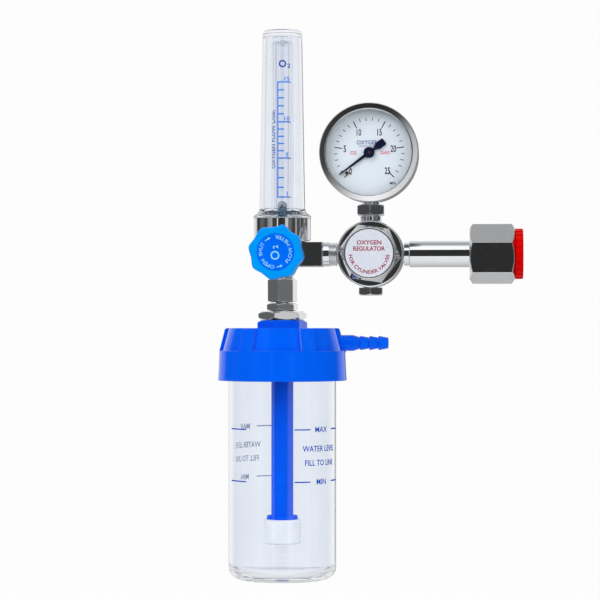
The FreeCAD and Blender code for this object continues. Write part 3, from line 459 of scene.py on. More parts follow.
def new_tree(name, inputs):
    """A geometry tree and its given inputs. `inputs` gives the labels of each kind of input."""
    tree = bpy.data.node_groups.new(name, "GeometryNodeTree")
    tree.interface.new_socket("Geometry", in_out="INPUT", socket_type="NodeSocketGeometry")
    for kind, labels in inputs.items():
        for label in labels:
            tree.interface.new_socket(label, in_out="INPUT", socket_type="NodeSocket" + kind)
    tree.interface.new_socket("Geometry", in_out="OUTPUT", socket_type="NodeSocketGeometry")
    return tree, add_node(tree, "NodeGroupInput").outputs


def end_tree(tree, given, geometry):
    """Ends a tree with real geometry in the material that its input names."""
    real = add_node(tree, "GeometryNodeRealizeInstances", {"Geometry": geometry})
    coated = add_node(tree, "GeometryNodeSetMaterial", {
        "Geometry": real, "Material": given["Material"]})
    add_node(tree, "NodeGroupOutput", {"Geometry": coated})
    return tree


def grown(name, tree, values):
    """The plain mesh that a geometry tree makes with these values."""
    holder = in_scene(name, bpy.data.meshes.new(name))
    modifier = holder.modifiers.new(name, "NODES")
    modifier.node_group = tree
    for item in tree.interface.items_tree:
        if item.in_out == "INPUT" and item.name in values:
            modifier[item.identifier] = values[item.name]
    mesh = plain_mesh(holder)
    holder.modifiers.remove(modifier)
    bpy.data.objects.remove(holder)
    return mesh


def dial_marks_tree():
    """Marks round a dial in its own plane: every fifth one long, the rest short."""
    tree, given = new_tree("dial_marks", {
        "Int": ("Marks",),
        "Float": ("First Angle", "Step", "Outer Radius", "Long", "Short", "Long Width",
                  "Short Width", "Thickness"),
        "Material": ("Material",)})
    points = add_node(tree, "GeometryNodePoints", {"Count": given["Marks"]})
    index = add_node(tree, "GeometryNodeInputIndex").outputs["Index"]
    angle = add_node(tree, "ShaderNodeMath", {
        0: index, 1: given["Step"], 2: given["First Angle"]}, operation="MULTIPLY_ADD")
    turn = add_node(tree, "ShaderNodeCombineXYZ", {"Z": angle})
    fifth = add_node(tree, "ShaderNodeMath", {0: index, 1: 5.0}, operation="MODULO")
    is_short = add_node(tree, "FunctionNodeCompare", {0: fifth, 1: 0.5}, operation="GREATER_THAN")
    is_long = add_node(tree, "FunctionNodeBooleanMath", {0: is_short}, operation="NOT")
    rows = []
    for length, width, chosen in (
            ("Long", "Long Width", is_long), ("Short", "Short Width", is_short)):
        size = add_node(tree, "ShaderNodeCombineXYZ", {
            "X": given[length], "Y": given[width], "Z": given["Thickness"]})
        mark = add_node(tree, "GeometryNodeMeshCube", {"Size": size})
        half = add_node(tree, "ShaderNodeMath", {
            0: given[length], 1: -0.5, 2: given["Outer Radius"]}, operation="MULTIPLY_ADD")
        out = add_node(tree, "ShaderNodeCombineXYZ", {"X": half})
        set_out = add_node(tree, "GeometryNodeTransform", {"Geometry": mark, "Translation": out})
        row = add_node(tree, "GeometryNodeInstanceOnPoints", {
            "Points": points, "Selection": chosen, "Instance": set_out, "Rotation": turn})
        rows.append(row.outputs["Instances"])
    both = add_node(tree, "GeometryNodeJoinGeometry")
    for row in rows:
        tree.links.new(row, both.inputs["Geometry"])
    return end_tree(tree, given, both)


def tube_marks_tree():
    """A run of level marks up the wall of a tube: arcs of a ring, evenly spaced."""
    tree, given = new_tree("tube_marks", {
        "Int": ("Marks",),
        "Float": ("First Height", "Spacing", "Radius", "From Angle", "Sweep", "Width",
                  "Thickness"),
        "Vector": ("Axis",), "Material": ("Material",)})
    arc = add_node(tree, "GeometryNodeCurveArc", {
        "Resolution": 10, "Radius": given["Radius"],
        "Start Angle": given["From Angle"], "Sweep Angle": given["Sweep"]}, mode="RADIUS")
    profile = add_node(tree, "GeometryNodeCurvePrimitiveQuadrilateral", {
        "Width": given["Thickness"], "Height": given["Width"]}, mode="RECTANGLE")
    mark = add_node(tree, "GeometryNodeCurveToMesh", {
        "Curve": arc, "Profile Curve": profile, "Fill Caps": True})
    height = add_node(tree, "ShaderNodeCombineXYZ", {"Z": given["First Height"]})
    place = add_node(tree, "ShaderNodeVectorMath", {0: given["Axis"], 1: height}, operation="ADD")
    rise = add_node(tree, "ShaderNodeCombineXYZ", {"Z": given["Spacing"]})
    column = add_node(tree, "GeometryNodeMeshLine", {
        "Count": given["Marks"], "Start Location": place, "Offset": rise}, mode="OFFSET")
    marks = add_node(tree, "GeometryNodeInstanceOnPoints", {"Points": column, "Instance": mark})
    return end_tree(tree, given, marks)


# What a user would change

def colour_property(name, description, hex_colour):
    """A colour that the user can change."""
    return bpy.props.FloatVectorProperty(
        name=name, description=description, subtype="COLOR", size=4, min=0, max=1,
        default=linear(hex_colour))


def length_property(name, description, size_mm, least_mm=0.0, precision=5):
    """A length that the user can change."""
    return bpy.props.FloatProperty(
        name=name, description=description, unit="LENGTH", precision=precision,
        min=least_mm * MM, default=size_mm * MM)


class FlowmeterColours(bpy.types.PropertyGroup):
    """The colours of the flowmeter's pieces."""

    chrome: colour_property("Chrome", "Plate on the metal pieces", "#E3E5E8")
    brass: colour_property("Brass", "Gauge movement, seats and stop pin", "#D2A94E")
    steel: colour_property("Steel", "Springs, clip and float ball", "#C9CBCE")
    lid: colour_property("Lid", "Humidifier lid, hose nozzle and dip tube", "#0062FF")
    knob: colour_property("Knob", "Lobed body of the flow knob", "#009AFC")
    knob_face: colour_property("Knob face", "Disc in the front of the knob", "#006CFA")
    knob_words: colour_property("Knob lettering", "Print on the knob's disc", "#8FD8FF")
    tube: colour_property("Flow tube", "Tint of the flow tube's clear plastic", "#F8FAFF")
    bottle: colour_property("Bottle", "Tint of the bottle's clear plastic", "#F6F9FF")
    scale_ink: colour_property("Scale ink", "Print on the measuring tube", "#0080E4")
    bottle_ink: colour_property("Bottle ink", "Water level marks", "#1F4FC4")
    dial: colour_property("Dial", "Face of the pressure gauge", "#F1F8FF")
    dial_ink: colour_property("Dial ink", "Marks, numerals and pointer", "#12173A")
    label: colour_property("Label", "Disc on the regulator's front", "#DDE1EC")
    label_ink: colour_property("Label ink", "Print on the label", "#9E0C2E")
    plug: colour_property("Dust plug", "Plug in the inlet nut", "#D40404")
    floor: colour_property("Floor", "Studio floor and backdrop", "#FAFAFA")


class FlowmeterSizes(bpy.types.PropertyGroup):
    """The sizes of the printing and of the studio."""

    print_thickness: length_property("Ink thickness", "How far print stands off its surface", 0.04)
    scale_line: length_property("Scale line", "Width of the flow scale's lines", 0.8)
    scale_numeral: length_property("Scale numeral", "Height of the flow scale's numerals", 2.7)
    dial_numeral: length_property("Dial numeral", "Height of the gauge's numerals", 4.2)
    bottle_letter: length_property("Bottle lettering", "Height of the words on the bottle", 3.6)
    camera_distance: length_property(
        "Camera distance", "From the camera to the flow tube", 1350, least_mm=100, precision=2)
    camera_azimuth: bpy.props.FloatProperty(
        name="Camera azimuth", description="How far the camera stands round towards the inlet nut",
        unit="ROTATION", default=math.radians(4.8))


# Operators

class FLOWMETER_OT_metalwork(bpy.types.Operator):
    """Plates the outer metal pieces and finishes the brass and steel ones inside"""

    bl_idname = "flowmeter.metalwork"
    bl_label = "Metalwork"

    def execute(self, context):
        colours = context.scene.flowmeter_colours
        dress(chrome_plate(colours),
              "inlet_nut", "inlet_stem", "regulator_body", "bonnet", "rear_plug", "relief_body",
              "nipple", "gauge_socket", "gauge_case", "valve_body", "gland", "union_nut",
              "tailpiece", "lid_nut")
        dress(turned_brass(colours),
              "inlet_filter", "spring_plate", "poppet", "relief_poppet", "stop_pin",
              "pointer_arbor", "sector_gear", "movement_pillars", "pressure_coil", "coil_tip",
              "link", "movement_back_plate", "movement_front_plate", "spindle")
        dress(spring_steel(colours), "range_spring", "poppet_spring", "relief_spring", "knob_clip")
        return {"FINISHED"}


class FLOWMETER_OT_seals(bpy.types.Operator):
    """Gives the seals, rings and the diaphragm their rubber"""

    bl_idname = "flowmeter.seals"
    bl_label = "Seals"

    def execute(self, context):
        dress(rubber("nitrile_rubber_pressed", linear("#1E1E20")),
              "diaphragm", "spindle_ring", "tube_ring")
        dress(rubber("silicone_rubber_white", linear("#E4E4E0")),
              "seal_washer", "union_seal", "stem_gasket", "lid_gasket")
        return {"FINISHED"}


class FLOWMETER_OT_gauge(bpy.types.Operator):
    """Enamels the gauge's dial and prints its scale, and finishes pointer and window"""

    bl_idname = "flowmeter.gauge"
    bl_label = "Pressure gauge"

    def execute(self, context):
        colours = context.scene.flowmeter_colours
        sizes = context.scene.flowmeter_sizes
        dress(enamel("enamel_white_stoved", colours.dial, 0.3), "gauge_dial")
        dress(enamel("enamel_dark_stoved", colours.dial_ink, 0.35, 0.08), "pointer")
        dress(clear_plastic("window_glass_drawn", linear("#FAFCFF"), 1.52, 30.0), "gauge_glass")
        hide_from("shadow", "gauge_glass")
        # The real bezel is rolled from sheet: its face is a shallow cone with a rounded rim.
        low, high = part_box("gauge_bezel")
        rim = half_width("gauge_bezel")
        window = 25.8 * MM
        shell = half_width("gauge_case") + 0.1 * MM
        glass_front = front_of("gauge_glass")
        flare = math.tan(math.radians(13))
        corner, depth = 0.35 * MM, 0.5 * MM
        inside = window + 0.7 * MM
        edge = rim - corner
        cone = low.y + (edge - inside) * flare
        profile = [(shell, high.y), (rim, high.y), (rim, cone + depth)]
        for degrees in (20, 40, 60):
            lean = math.radians(degrees)
            profile.append((edge + corner * math.cos(lean), cone + depth * (1 - math.sin(lean))))
        # A point just inside the rounded rim keeps the rim's shading off the cone.
        shoulder = edge - 0.25 * MM
        profile += [(edge, cone), (shoulder, cone - (edge - shoulder) * flare), (inside, low.y),
                    (window + 0.3 * MM, low.y + 0.12 * MM),
                    (window, low.y + depth), (window, glass_front), (shell, glass_front)]
        bezel = new_piece("bezel", turned(profile, middle("gauge_bezel")), chrome_plate(colours),
                          "meter")
        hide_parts("gauge_bezel")
        thickness = sizes.print_thickness
        dial_ink = ink("dial_ink_navy", colours.dial_ink)
        centre = middle("gauge_dial")
        face = on_face(centre.x, front_of("gauge_dial") - thickness / 2, centre.z)
        # The scale runs clockwise from the lower left, with a mark for each MPa.
        most = 25
        first, sweep = math.radians(225), math.radians(270)
        marks = grown("dial_marks", dial_marks_tree(), {
            "Marks": most + 1, "First Angle": first, "Step": -sweep / most,
            "Outer Radius": 21.3 * MM, "Long": 4.6 * MM, "Short": 2.0 * MM,
            "Long Width": 0.6 * MM, "Short Width": 0.42 * MM,
            "Thickness": thickness, "Material": dial_ink})
        new_piece("dial_marks", placed(marks, face), dial_ink, "meter")
        numerals = []
        for value, reach in ((0, 16.0), (5, 15.0), (10, 13.8), (15, 13.8), (20, 14.8), (25, 15.6)):
            angle = first - sweep * value / most
            figure = lettering(str(value), sizes.dial_numeral, 0.62, thickness, BOLD)
            out = reach * MM
            numerals.append(moved(figure, out * math.cos(angle), out * math.sin(angle)))
        unit = lettering("MPa", 1.7 * MM, 0.95, thickness)
        numerals.append(moved(unit, 14.4 * MM, -18.6 * MM))
        printed("dial_numerals", numerals, face, dial_ink, "meter")
        gas = [moved(lettering("OXYGEN", 2.5 * MM, 0.95, thickness), -1.0 * MM, 6.2 * MM),
               moved(bar(11.0 * MM, 0.3 * MM, thickness), -1.0 * MM, 4.0 * MM)]
        blue = ink("dial_ink_blue", linear("#1C3F8F"))
        printed("dial_words", gas, face, blue, "meter")
        # The gas is named in red too, on either side of the pointer.
        sides = [moved(lettering(word, 2.2 * MM, 1.0, thickness), reach * MM, 0.0)
                 for word, reach in (("O2", -9.6), ("GAS", 9.6))]
        red = ink("dial_ink_red", linear("#D8305A"))
        printed("dial_gas_words", sides, face, red, "meter")
        return {"FINISHED"}


class FLOWMETER_OT_label(bpy.types.Operator):
    """Finishes the disc on the regulator's front and prints plain words on it"""

    bl_idname = "flowmeter.label"
    bl_label = "Label"

    def execute(self, context):
        colours = context.scene.flowmeter_colours
        thickness = context.scene.flowmeter_sizes.print_thickness
        dress(enamel("label_film_satin", colours.label, 0.4), "label_disc")
        centre = middle("label_disc")
        face = on_face(centre.x, front_of("label_disc") - thickness / 2, centre.z)
        lines = [
            moved(lettering("OXYGEN", 2.7 * MM, 1.0, thickness, BOLD), 0, 6.5 * MM),
            moved(lettering("REGULATOR", 2.7 * MM, 0.92, thickness, BOLD), 0, 2.8 * MM),
            placed(lettering("FOR CYLINDER VALVES", 2.2 * MM, 1.1, thickness, BOLD),
                   round_ring(11.4 * MM, math.radians(270), inward=True)),
        ]
        red = ink("label_ink_red", colours.label_ink)
        printed("label_words", lines, face, red, "meter")
        return {"FINISHED"}


class FLOWMETER_OT_flow_tube(bpy.types.Operator):
    """Makes the flow tube clear and prints the scale in litres a minute on its inner tube"""

    bl_idname = "flowmeter.flow_tube"
    bl_label = "Flow tube"

    def execute(self, context):
        colours = context.scene.flowmeter_colours
        sizes = context.scene.flowmeter_sizes
        thickness = sizes.print_thickness
        clear = ("outer_tube", "measuring_tube", "float_stop")
        dress(clear_plastic("acrylic_moulded_clear", colours.tube, 1.49, 6.0), *clear)
        hide_from("shadow", *clear)
        dress(spring_steel(colours), "float_ball")
        dress(rubber("silicone_rubber_teal", linear("#22607A")), "float_seat")
        blue = ink("scale_ink_blue", colours.scale_ink)
        axis = middle("measuring_tube")
        radius = half_width("measuring_tube") + thickness / 2 + 0.02 * MM
        # Litres a minute and their heights, in millimetres: even runs, as the bore's taper gives.
        heights = {1: 35.0, 4: 52.8, 5: 58.9, 10: 81.1, 15: 105.6}
        runs = ((1, 4, 3), (5, 10, 5), (10, 15, 5))
        numbered = (1, 5, 10, 15)
        # Every mark starts at an upright line; angles are degrees to the right of the front.
        left, short, long = -18.0, 31.0, 70.0
        common = {"Radius": radius, "Width": sizes.scale_line, "Thickness": thickness,
                  "Axis": Vector((axis.x, axis.y, 0)), "Material": blue,
                  "From Angle": math.radians(left - 90)}
        rows = [(steps + 1, heights[low], (heights[high] - heights[low]) / steps, short)
                for low, high, steps in runs]
        rows += [(1, heights[value], 0.0, long) for value in numbered]
        tree = tube_marks_tree()
        pieces = [grown("scale_marks", tree, {
            **common, "Marks": count, "First Height": height * MM, "Spacing": spacing * MM,
            "Sweep": math.radians(sweep)}) for count, height, spacing, sweep in rows]
        wall = round_wall(axis, radius)
        span = (heights[15] - heights[1]) * MM + sizes.scale_line
        centre_height = (heights[15] + heights[1]) / 2 * MM
        upright = bar(sizes.scale_line, span, thickness)
        pieces.append(placed(moved(upright, math.radians(left) * radius, centre_height), wall))
        # Each numeral stands a little above its mark.
        lift = sizes.scale_line / 2 + sizes.scale_numeral / 2 + 0.3 * MM
        for value in numbered:
            figure = lettering(str(value), sizes.scale_numeral, 1.15, thickness, BOLD)
            pieces.append(placed(moved(figure, 3.5 * MM, heights[value] * MM + lift), wall))
        new_piece("flow_scale", joined("flow_scale", pieces), blue, "meter")
        # The words run up the tube, left of the scale, and the gas stands above it.
        unit = lettering("OXYGEN FLOW L/min", 3.4 * MM, 0.8, thickness, BOLD)
        unit = placed(unit, lambda u, v, w: Vector((-v - 5.7 * MM, u + 70.5 * MM, w)))
        ring = moved(lettering("O", 4.6 * MM, 0.95, thickness, HEAVY), 0.7 * MM, 116.8 * MM)
        small = moved(lettering("2", 2.7 * MM, 1.2, thickness, HEAVY), 4.7 * MM, 115.7 * MM)
        dark = ink("scale_ink_dark", shade(colours.bottle_ink, 0.7))
        printed("flow_words", [unit, ring, small], wall, dark, "meter")
        return {"FINISHED"}


class FLOWMETER_OT_knob(bpy.types.Operator):
    """Colours the knob and prints its words and arrows"""

    bl_idname = "flowmeter.knob"
    bl_label = "Flow knob"

    def execute(self, context):
        colours = context.scene.flowmeter_colours
        thickness = context.scene.flowmeter_sizes.print_thickness
        dress(moulded_plastic("abs_moulded_light_blue", colours.knob, 0.2, 0.15), "knob")
        dress(moulded_plastic("abs_disc_blue", colours.knob_face, 0.3, 0.1), "knob_disc")
        # The chrome beside them stays free of blue, as in the photograph.
        hide_from("glossy", "knob", "knob_disc")
        centre = middle("knob_disc")
        face = on_face(centre.x, front_of("knob_disc") - thickness / 2, centre.z)
        # Words and arrows run round a ring, each centred at its angle in degrees.
        ring, letter = 9.0 * MM, 2.2 * MM
        parts = [placed(lettering(word, letter, width, thickness),
                        round_ring(ring, math.radians(degrees), inward))
                 for word, width, degrees, inward in (
                     ("SHUT", 1.1, 169, False), ("OPEN", 1.15, 238, False),
                     ("FLOW METER", 1.15, 24, True))]
        parts += [arrow(ring, math.radians(degrees), math.radians(sweep), thickness)
                  for degrees, sweep in ((121, -24), (287, 24))]
        # The gas, set sideways in the middle.
        gas = [lettering("O", 5.4 * MM, 0.95, thickness),
               moved(lettering("2", 3.2 * MM, 1.0, thickness), 4.9 * MM, -0.9 * MM)]
        lean = math.radians(97)
        parts.append(placed(joined("knob_gas", gas), lambda u, v, w: Vector((
            u * math.cos(lean) - v * math.sin(lean) - 0.3 * MM,
            u * math.sin(lean) + v * math.cos(lean) - 2.0 * MM, w))))
        pale = ink("knob_ink_pale", colours.knob_words)
        printed("knob_words", parts, face, pale, "flow_knob")
        return {"FINISHED"}


def arrow(radius, angle, sweep, thickness):
    """A printed arrow round a circle, centred at this angle, clockwise if sweep is negative."""
    work = bmesh.new()
    length = abs(sweep) * radius
    half, head = 0.28 * MM, 0.85 * MM
    neck = length - 2 * head
    outline = [(0, -half), (neck, -half), (neck, -head), (length, 0), (neck, head), (neck, half),
               (0, half)]
    for level in (-thickness / 2, thickness / 2):
        work.faces.new([work.verts.new((u, v, level)) for u, v in outline])
    work.verts.ensure_lookup_table()
    count = len(outline)
    for i in range(count):
        j = (i + 1) % count
        work.faces.new([work.verts[k] for k in (i, j, count + j, count + i)])
    sign = 1 if sweep > 0 else -1

    def place(u, v, w):
        at = angle + sign * (u - length / 2) / radius
        return Vector(((radius + v) * math.cos(at), (radius + v) * math.sin(at), w))
    return placed(built(work, "arrow"), place)


class FLOWMETER_OT_humidifier(bpy.types.Operator):
    """Finishes the lid, dip tube and diffuser, and makes the bottle clear"""

    bl_idname = "flowmeter.humidifier"
    bl_label = "Humidifier"

    def execute(self, context):
        colours = context.scene.flowmeter_colours
        blue = moulded_plastic("polypropylene_moulded_blue", colours.lid, 0.06, 0.45, 0.8)
        dress(blue, "lid", "inner_nut")
        # The chrome above them stays free of blue, as in the photograph.
        hide_from("glossy", "lid", "inner_nut")
        # Drawn through a die and not polished, the tube is duller and deeper than the lid.
        deep = shade(colours.lid, 0.85)
        dress(moulded_plastic("polypropylene_extruded_blue", deep, 0.35, 0.03), "dip_tube")
        dress(sintered_plastic(linear("#F2F4F8")), "diffuser")
        dress(clear_plastic("polycarbonate_blown_clear", colours.bottle, 1.5, 9.0), "bottle")
        hide_from("shadow", "bottle")
        return {"FINISHED"}


class FLOWMETER_OT_bottle_marks(bpy.types.Operator):
    """Prints the highest and lowest water level on both sides of the bottle"""

    bl_idname = "flowmeter.bottle_marks"
    bl_label = "Bottle marks"

    def execute(self, context):
        colours = context.scene.flowmeter_colours
        sizes = context.scene.flowmeter_sizes
        thickness = sizes.print_thickness
        axis = middle("bottle")
        wall_radius, gap = 33.0 * MM, 0.02 * MM
        # Places are heights, and turns in degrees from the front towards +X.
        levels = ((-106.5 * MM, "MAX"), (-138.0 * MM, "MIN"))
        notes = ((-118.0 * MM, "WATER LEVEL"), (-126.5 * MM, "FILL TO LINE"))
        lines = ((27, 10.5 * MM), (78, 10.5 * MM), (204, 14.0 * MM), (310, 16.0 * MM))
        sides = (51, 235)
        # A pale coat goes under the blue, so the far side's print is faint through the bottle.
        coats = (("bottle_marks_base", ink("bottle_ink_pale", linear("#C3CDE6"))),
                 ("bottle_marks", ink("bottle_ink_blue", colours.bottle_ink)))
        for coat, (name, material) in enumerate(coats):
            radius = wall_radius + gap + (coat + 0.5) * thickness
            prints = [(turn, height, bar(length, 0.75 * MM, thickness, 8))
                      for turn, length in lines for height, _ in levels]
            for turn in sides:
                prints += [(turn, height, lettering(word, 3.4 * MM, 1.0, thickness))
                           for height, word in levels]
                prints += [(turn, height, lettering(words, sizes.bottle_letter, 0.88, thickness))
                           for height, words in notes]
            pieces = [placed(moved(flat, 0, height), round_wall(axis, radius, math.radians(turn)))
                      for turn, height, flat in prints]
            new_piece(name, joined(name, pieces), material, "water_bottle")
        return {"FINISHED"}


class FLOWMETER_OT_dust_plug(bpy.types.Operator):
    """Colours the dust plug in the inlet nut"""

    bl_idname = "flowmeter.dust_plug"
    bl_label = "Dust plug"

    def execute(self, context):
        colours = context.scene.flowmeter_colours
        dress(moulded_plastic("polyethylene_moulded_red", colours.plug, 0.32, 0.1), "dust_plug")
        return {"FINISHED"}


class FLOWMETER_OT_studio(bpy.types.Operator):
    """Sets the camera, the pale floor, the soft lights and the screens that chrome reflects"""

    bl_idname = "flowmeter.studio"
    bl_label = "Studio"

    def execute(self, context):
        scene = context.scene
        # The camera stands level with the lid's top and looks at the picture's middle.
        target = Vector((-114.6 * MM, 0, -28.0 * MM))
        scene.camera = picture_camera(target, -46.4 * MM, scene.flowmeter_sizes)
        # The bottle comes off downwards, so the floor lies a little below its travel.
        bottle_room = 137 * MM
        floor = backdrop(cad_box[0].z - bottle_room, scene.flowmeter_colours.floor)
        scene.world = studio_world()
        # Light turns many times inside the thick clear walls before it leaves them.
        scene.cycles.max_bounces = 20
        scene.cycles.glossy_bounces = 12
        scene.cycles.transmission_bounces = 20
        for name, place, size, power in (
                ("key", (-0.9, -1.1, 0.9), 0.9, 9.0),
                ("fill", (1.1, -1.0, 0.3), 0.9, 4.8),
                ("top", (-0.1, 0.1, 1.2), 1.0, 5.3)):
            data = bpy.data.lights.new(name, "AREA")
            data.shape = "SQUARE"
            data.size = size
            data.energy = power
            lamp = in_scene(name, data)
            aim(lamp, place, target)
            # Chrome and glass show the screens and cloths of the world below, not these lamps.
            lamp.visible_camera = lamp.visible_glossy = lamp.visible_transmission = False
        return {"FINISHED"}


def aim(item, place, target):
    """Puts a camera or lamp at a place and turns it to the target."""
    item.location = place
    item.rotation_euler = (target - item.location).to_track_quat("-Z", "Y").to_euler()


def picture_camera(target, eye_height, sizes):
    """The camera that frames the target as the photograph does."""
    azimuth, distance = sizes.camera_azimuth, sizes.camera_distance
    data = bpy.data.cameras.new("camera")
    camera = in_scene("camera", data)
    away = Vector((math.sin(azimuth), -math.cos(azimuth), 0)) * distance
    aim(camera, Vector((target.x, target.y, eye_height)) + away, target)
    # The picture is 600 pixels wide, and a pixel at the target is 0.615 mm.
    picture_width = 600 * 0.615 * MM
    data.sensor_width = 36.0
    data.lens = data.sensor_width * distance / picture_width
    data.clip_start, data.clip_end = 0.05, 50
    return camera


def backdrop(level, colour):
    """A pale floor that curves up into a wall behind the object. Sizes are in metres."""
    near, bend, curve, top, side = -3.0, 1.6, 0.8, 3.0, 4.0
    turns = [math.pi / 2 * i / 12 for i in range(1, 13)]
    profile = [(near, 0.0), (bend, 0.0)]
    profile += [(bend + curve * math.sin(a), curve - curve * math.cos(a)) for a in turns]
    profile.append((bend + curve, top))
    work = bmesh.new()
    rows = [[work.verts.new((x, y, level + z)) for y, z in profile] for x in (-side, side)]
    # An open sheet has no outside, so the order of the corners turns it to the object.
    for i in range(len(profile) - 1):
        work.faces.new([rows[0][i], rows[1][i], rows[1][i + 1], rows[0][i + 1]])
    mesh = built(work, "backdrop", outwards=False)
    mesh.shade_smooth()
    # Painted card: seen straight on it shows as white as the sky, and still takes a shadow.
    material = finished("painted_card_pale", either_side(colour, 0.01), 60.0,
                        (0.75, 0.85), 40.0, (0.8, 0.02, EVEN), IOR=1.5)
    tree = material.node_tree
    card = node_of(material, "BSDF_PRINCIPLED")
    path = add_node(tree, "ShaderNodeLightPath").outputs
    seen = add_node(tree, "ShaderNodeMath", {
        0: path["Is Camera Ray"], 1: path["Is Transmission Ray"]}, operation="MAXIMUM")
    share = add_node(tree, "ShaderNodeMath", {0: seen, 1: 0.95}, operation="MULTIPLY")
    white = add_node(tree, "ShaderNodeEmission", {"Color": (1, 1, 1, 1), "Strength": 1.0})
    mix = add_node(tree, "ShaderNodeMixShader", {"Fac": share, 1: card, 2: white})
    # It can be looked through from below, and by what is mirrored inside clear walls.
    back = add_node(tree, "ShaderNodeNewGeometry").outputs["Backfacing"]
    hidden = add_node(tree, "ShaderNodeMath", {0: back, 1: path["Glossy Depth"]},
                      operation="ADD", use_clamp=True)
    clear = add_node(tree, "ShaderNodeBsdfTransparent")
    under = add_node(tree, "ShaderNodeMixShader", {"Fac": hidden, 1: mix, 2: clear})
    output = node_of(material, "OUTPUT_MATERIAL")
    tree.links.new(under.outputs["Shader"], output.inputs["Surface"])
    mesh.materials.append(material)
    piece = in_scene("backdrop", mesh)
    # Chrome shows the world's screens in its place.
    piece.visible_glossy = False
    return piece


# What chrome sees from the set: brightness by the angle in degrees from straight ahead,
# going up, down, left and right. A black cloth hangs round the camera, with a long white
# screen above it, a pale floor below, strips at the sides and grey walls further round.
SCREENS = {
    "up": ((0, 0.03), (36, 0.03), (37.5, 1.25), (68, 1.25), (86, 0.5), (100, 0.42), (117, 0.56),
           (136, 0.8), (158, 1.05), (160, 0.3), (180, 0.25)),
    "down": ((0, 0.04), (20, 0.03), (22, 1.15), (30, 1.0), (60, 0.95), (83, 0.84), (110, 0.7),
             (130, 0.58), (155, 0.54), (160, 0.8), (162, 0.25), (180, 0.25)),
    "left": ((0, 0.04), (12, 0.04), (13, 1.0), (16, 1.0), (17, 0.06), (35, 0.06), (37, 0.42),
             (55, 0.3), (59, 0.07), (70, 0.07), (78, 0.14), (96, 0.14), (99, 0.05), (116, 0.05),
             (126, 0.8), (163, 0.95), (165, 0.25), (180, 0.25)),
    "right": ((0, 0.04), (16, 0.06), (18, 0.7), (28, 0.7), (29.5, 0.18), (42, 0.16), (46, 0.06),
              (58, 0.06), (60, 0.4), (66, 0.4), (67, 0.07), (79, 0.1), (80, 0.22), (86, 0.2),
              (88, 0.06), (121, 0.05), (134, 0.85), (161, 0.95), (163, 0.25), (180, 0.25)),
}


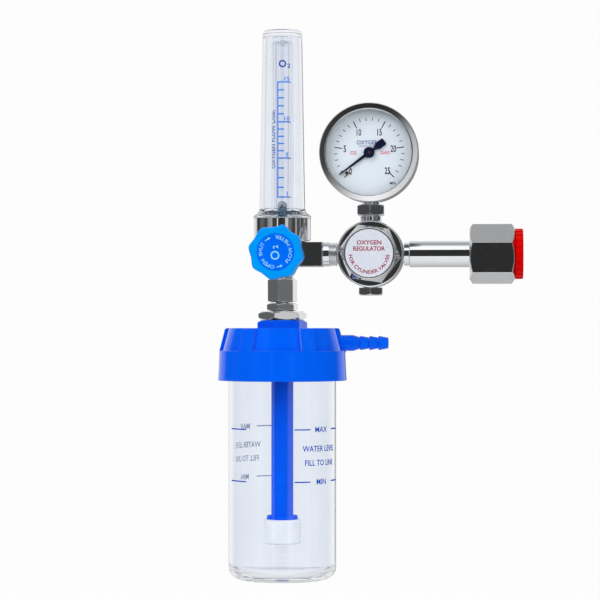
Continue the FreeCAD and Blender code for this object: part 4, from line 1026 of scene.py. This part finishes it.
def studio_world():
    """The air of the studio: white where it is seen, soft as light, with screens for chrome."""
    world = bpy.data.worlds.new("studio_world")
    world.use_nodes = True
    tree = world.node_tree
    tree.nodes.clear()
    way = add_node(tree, "ShaderNodeSeparateXYZ", {
        "Vector": add_node(tree, "ShaderNodeTexCoord").outputs["Generated"]}).outputs
    ahead = add_node(tree, "ShaderNodeMath", {0: way["Y"], 1: -1.0}, operation="MULTIPLY")
    angle = add_node(tree, "ShaderNodeMath", {0: ahead}, operation="ARCCOSINE")
    share = add_node(tree, "ShaderNodeMath", {0: angle, 1: math.pi}, operation="DIVIDE")
    # A ramp's colours stop at 1, so its levels are divided by the brightest.
    brightest = max(level for stops in SCREENS.values() for _, level in stops)
    bands = {}
    for side, stops in SCREENS.items():
        band = add_node(tree, "ShaderNodeValToRGB", {"Fac": share})
        elements = band.color_ramp.elements
        for at, (degrees, level) in enumerate(stops):
            # A new ramp has two stops.
            stop = elements[at] if at < 2 else elements.new(1.0)
            stop.position = degrees / 180
            stop.color = (*[level / brightest] * 3, 1.0)
        bands[side] = band
    # One screen fades into the next over this much. A Mix node's numbers are inputs 2 and 3.
    blur = 0.06
    pairs = []
    for axis, less, more in (("Z", "down", "up"), ("X", "left", "right")):
        turn = add_node(tree, "ShaderNodeMapRange", {
            "Value": way[axis], "From Min": -blur, "From Max": blur})
        pair = add_node(tree, "ShaderNodeMix", {
            "Factor": turn, 2: bands[less], 3: bands[more]}, data_type="FLOAT")
        square = add_node(tree, "ShaderNodeMath", {0: way[axis], 1: 2.0}, operation="POWER")
        pairs.append((pair, square))
    (upright, rise), (sideways, run) = pairs
    total = add_node(tree, "ShaderNodeMath", {0: rise, 1: run}, operation="ADD")
    flat = add_node(tree, "ShaderNodeMath", {0: run, 1: total}, operation="DIVIDE")
    screens = add_node(tree, "ShaderNodeMix", {
        "Factor": flat, 2: upright, 3: sideways}, data_type="FLOAT")
    shown = add_node(tree, "ShaderNodeMath", {0: screens, 1: brightest}, operation="MULTIPLY")
    path = add_node(tree, "ShaderNodeLightPath").outputs
    soft = add_node(tree, "ShaderNodeMapRange", {
        "Value": path["Is Camera Ray"], "To Min": 0.5, "To Max": 1.0})
    mirrored = add_node(tree, "ShaderNodeMix", {
        "Factor": path["Is Glossy Ray"], 2: soft, 3: shown}, data_type="FLOAT")
    # A ray through glass counts as glossy too, so it is told apart last. Straight through it
    # sees white, and lights what stands behind the glass as the lamps light what doesn't.
    straight = add_node(tree, "ShaderNodeMapRange", {
        "Value": path["Diffuse Depth"], "To Min": 1.0, "To Max": 1.75})
    # After a reflection inside the glass it sees the screens, veiled away from the camera.
    strength = 0.55
    veil = add_node(tree, "ShaderNodeMapRange", {
        "Value": share, "From Min": 0.08, "From Max": 0.2, "To Max": strength})
    veiled = add_node(tree, "ShaderNodeMath", {
        0: screens, 1: strength, 2: veil}, operation="MULTIPLY_ADD")
    turned_back = add_node(tree, "ShaderNodeMath", {0: path["Glossy Depth"], 1: 1.0},
                           operation="MINIMUM")
    through = add_node(tree, "ShaderNodeMix", {
        "Factor": turned_back, 2: straight, 3: veiled}, data_type="FLOAT")
    seen = add_node(tree, "ShaderNodeMix", {
        "Factor": path["Is Transmission Ray"], 2: mirrored, 3: through}, data_type="FLOAT")
    sky = add_node(tree, "ShaderNodeBackground", {"Color": (1, 1, 1, 1), "Strength": seen})
    add_node(tree, "ShaderNodeOutputWorld", {"Surface": sky})
    return world


class FLOWMETER_PT_sidebar(bpy.types.Panel):
    """The flowmeter's steps, colours and sizes"""

    bl_idname = "FLOWMETER_PT_sidebar"
    bl_label = "Oxygen Flowmeter"
    bl_space_type = "VIEW_3D"
    bl_region_type = "UI"
    bl_category = "Flowmeter"

    def draw(self, context):
        column = self.layout.column(align=True)
        for step in STEPS:
            column.operator(step.bl_idname)
        for group in (context.scene.flowmeter_colours, context.scene.flowmeter_sizes):
            box = self.layout.box()
            for name in group.__annotations__:
                box.prop(group, name)


STEPS = (
    FLOWMETER_OT_metalwork,
    FLOWMETER_OT_seals,
    FLOWMETER_OT_gauge,
    FLOWMETER_OT_label,
    FLOWMETER_OT_flow_tube,
    FLOWMETER_OT_knob,
    FLOWMETER_OT_humidifier,
    FLOWMETER_OT_bottle_marks,
    FLOWMETER_OT_dust_plug,
    FLOWMETER_OT_studio,
)


CLASSES = (FlowmeterColours, FlowmeterSizes, *STEPS, FLOWMETER_PT_sidebar)


def register():
    for kind in CLASSES:
        bpy.utils.register_class(kind)
    bpy.types.Scene.flowmeter_colours = bpy.props.PointerProperty(type=FlowmeterColours)
    bpy.types.Scene.flowmeter_sizes = bpy.props.PointerProperty(type=FlowmeterSizes)


def unregister():
    del bpy.types.Scene.flowmeter_sizes
    del bpy.types.Scene.flowmeter_colours
    for kind in reversed(CLASSES):
        bpy.utils.unregister_class(kind)


def main():
    """Runs every step."""
    register()
    bpy.context.scene.view_settings.view_transform = "Standard"
    for step in STEPS:
        group, name = step.bl_idname.split(".")
        getattr(getattr(bpy.ops, group), name)()


if __name__ == "__main__":
    main()
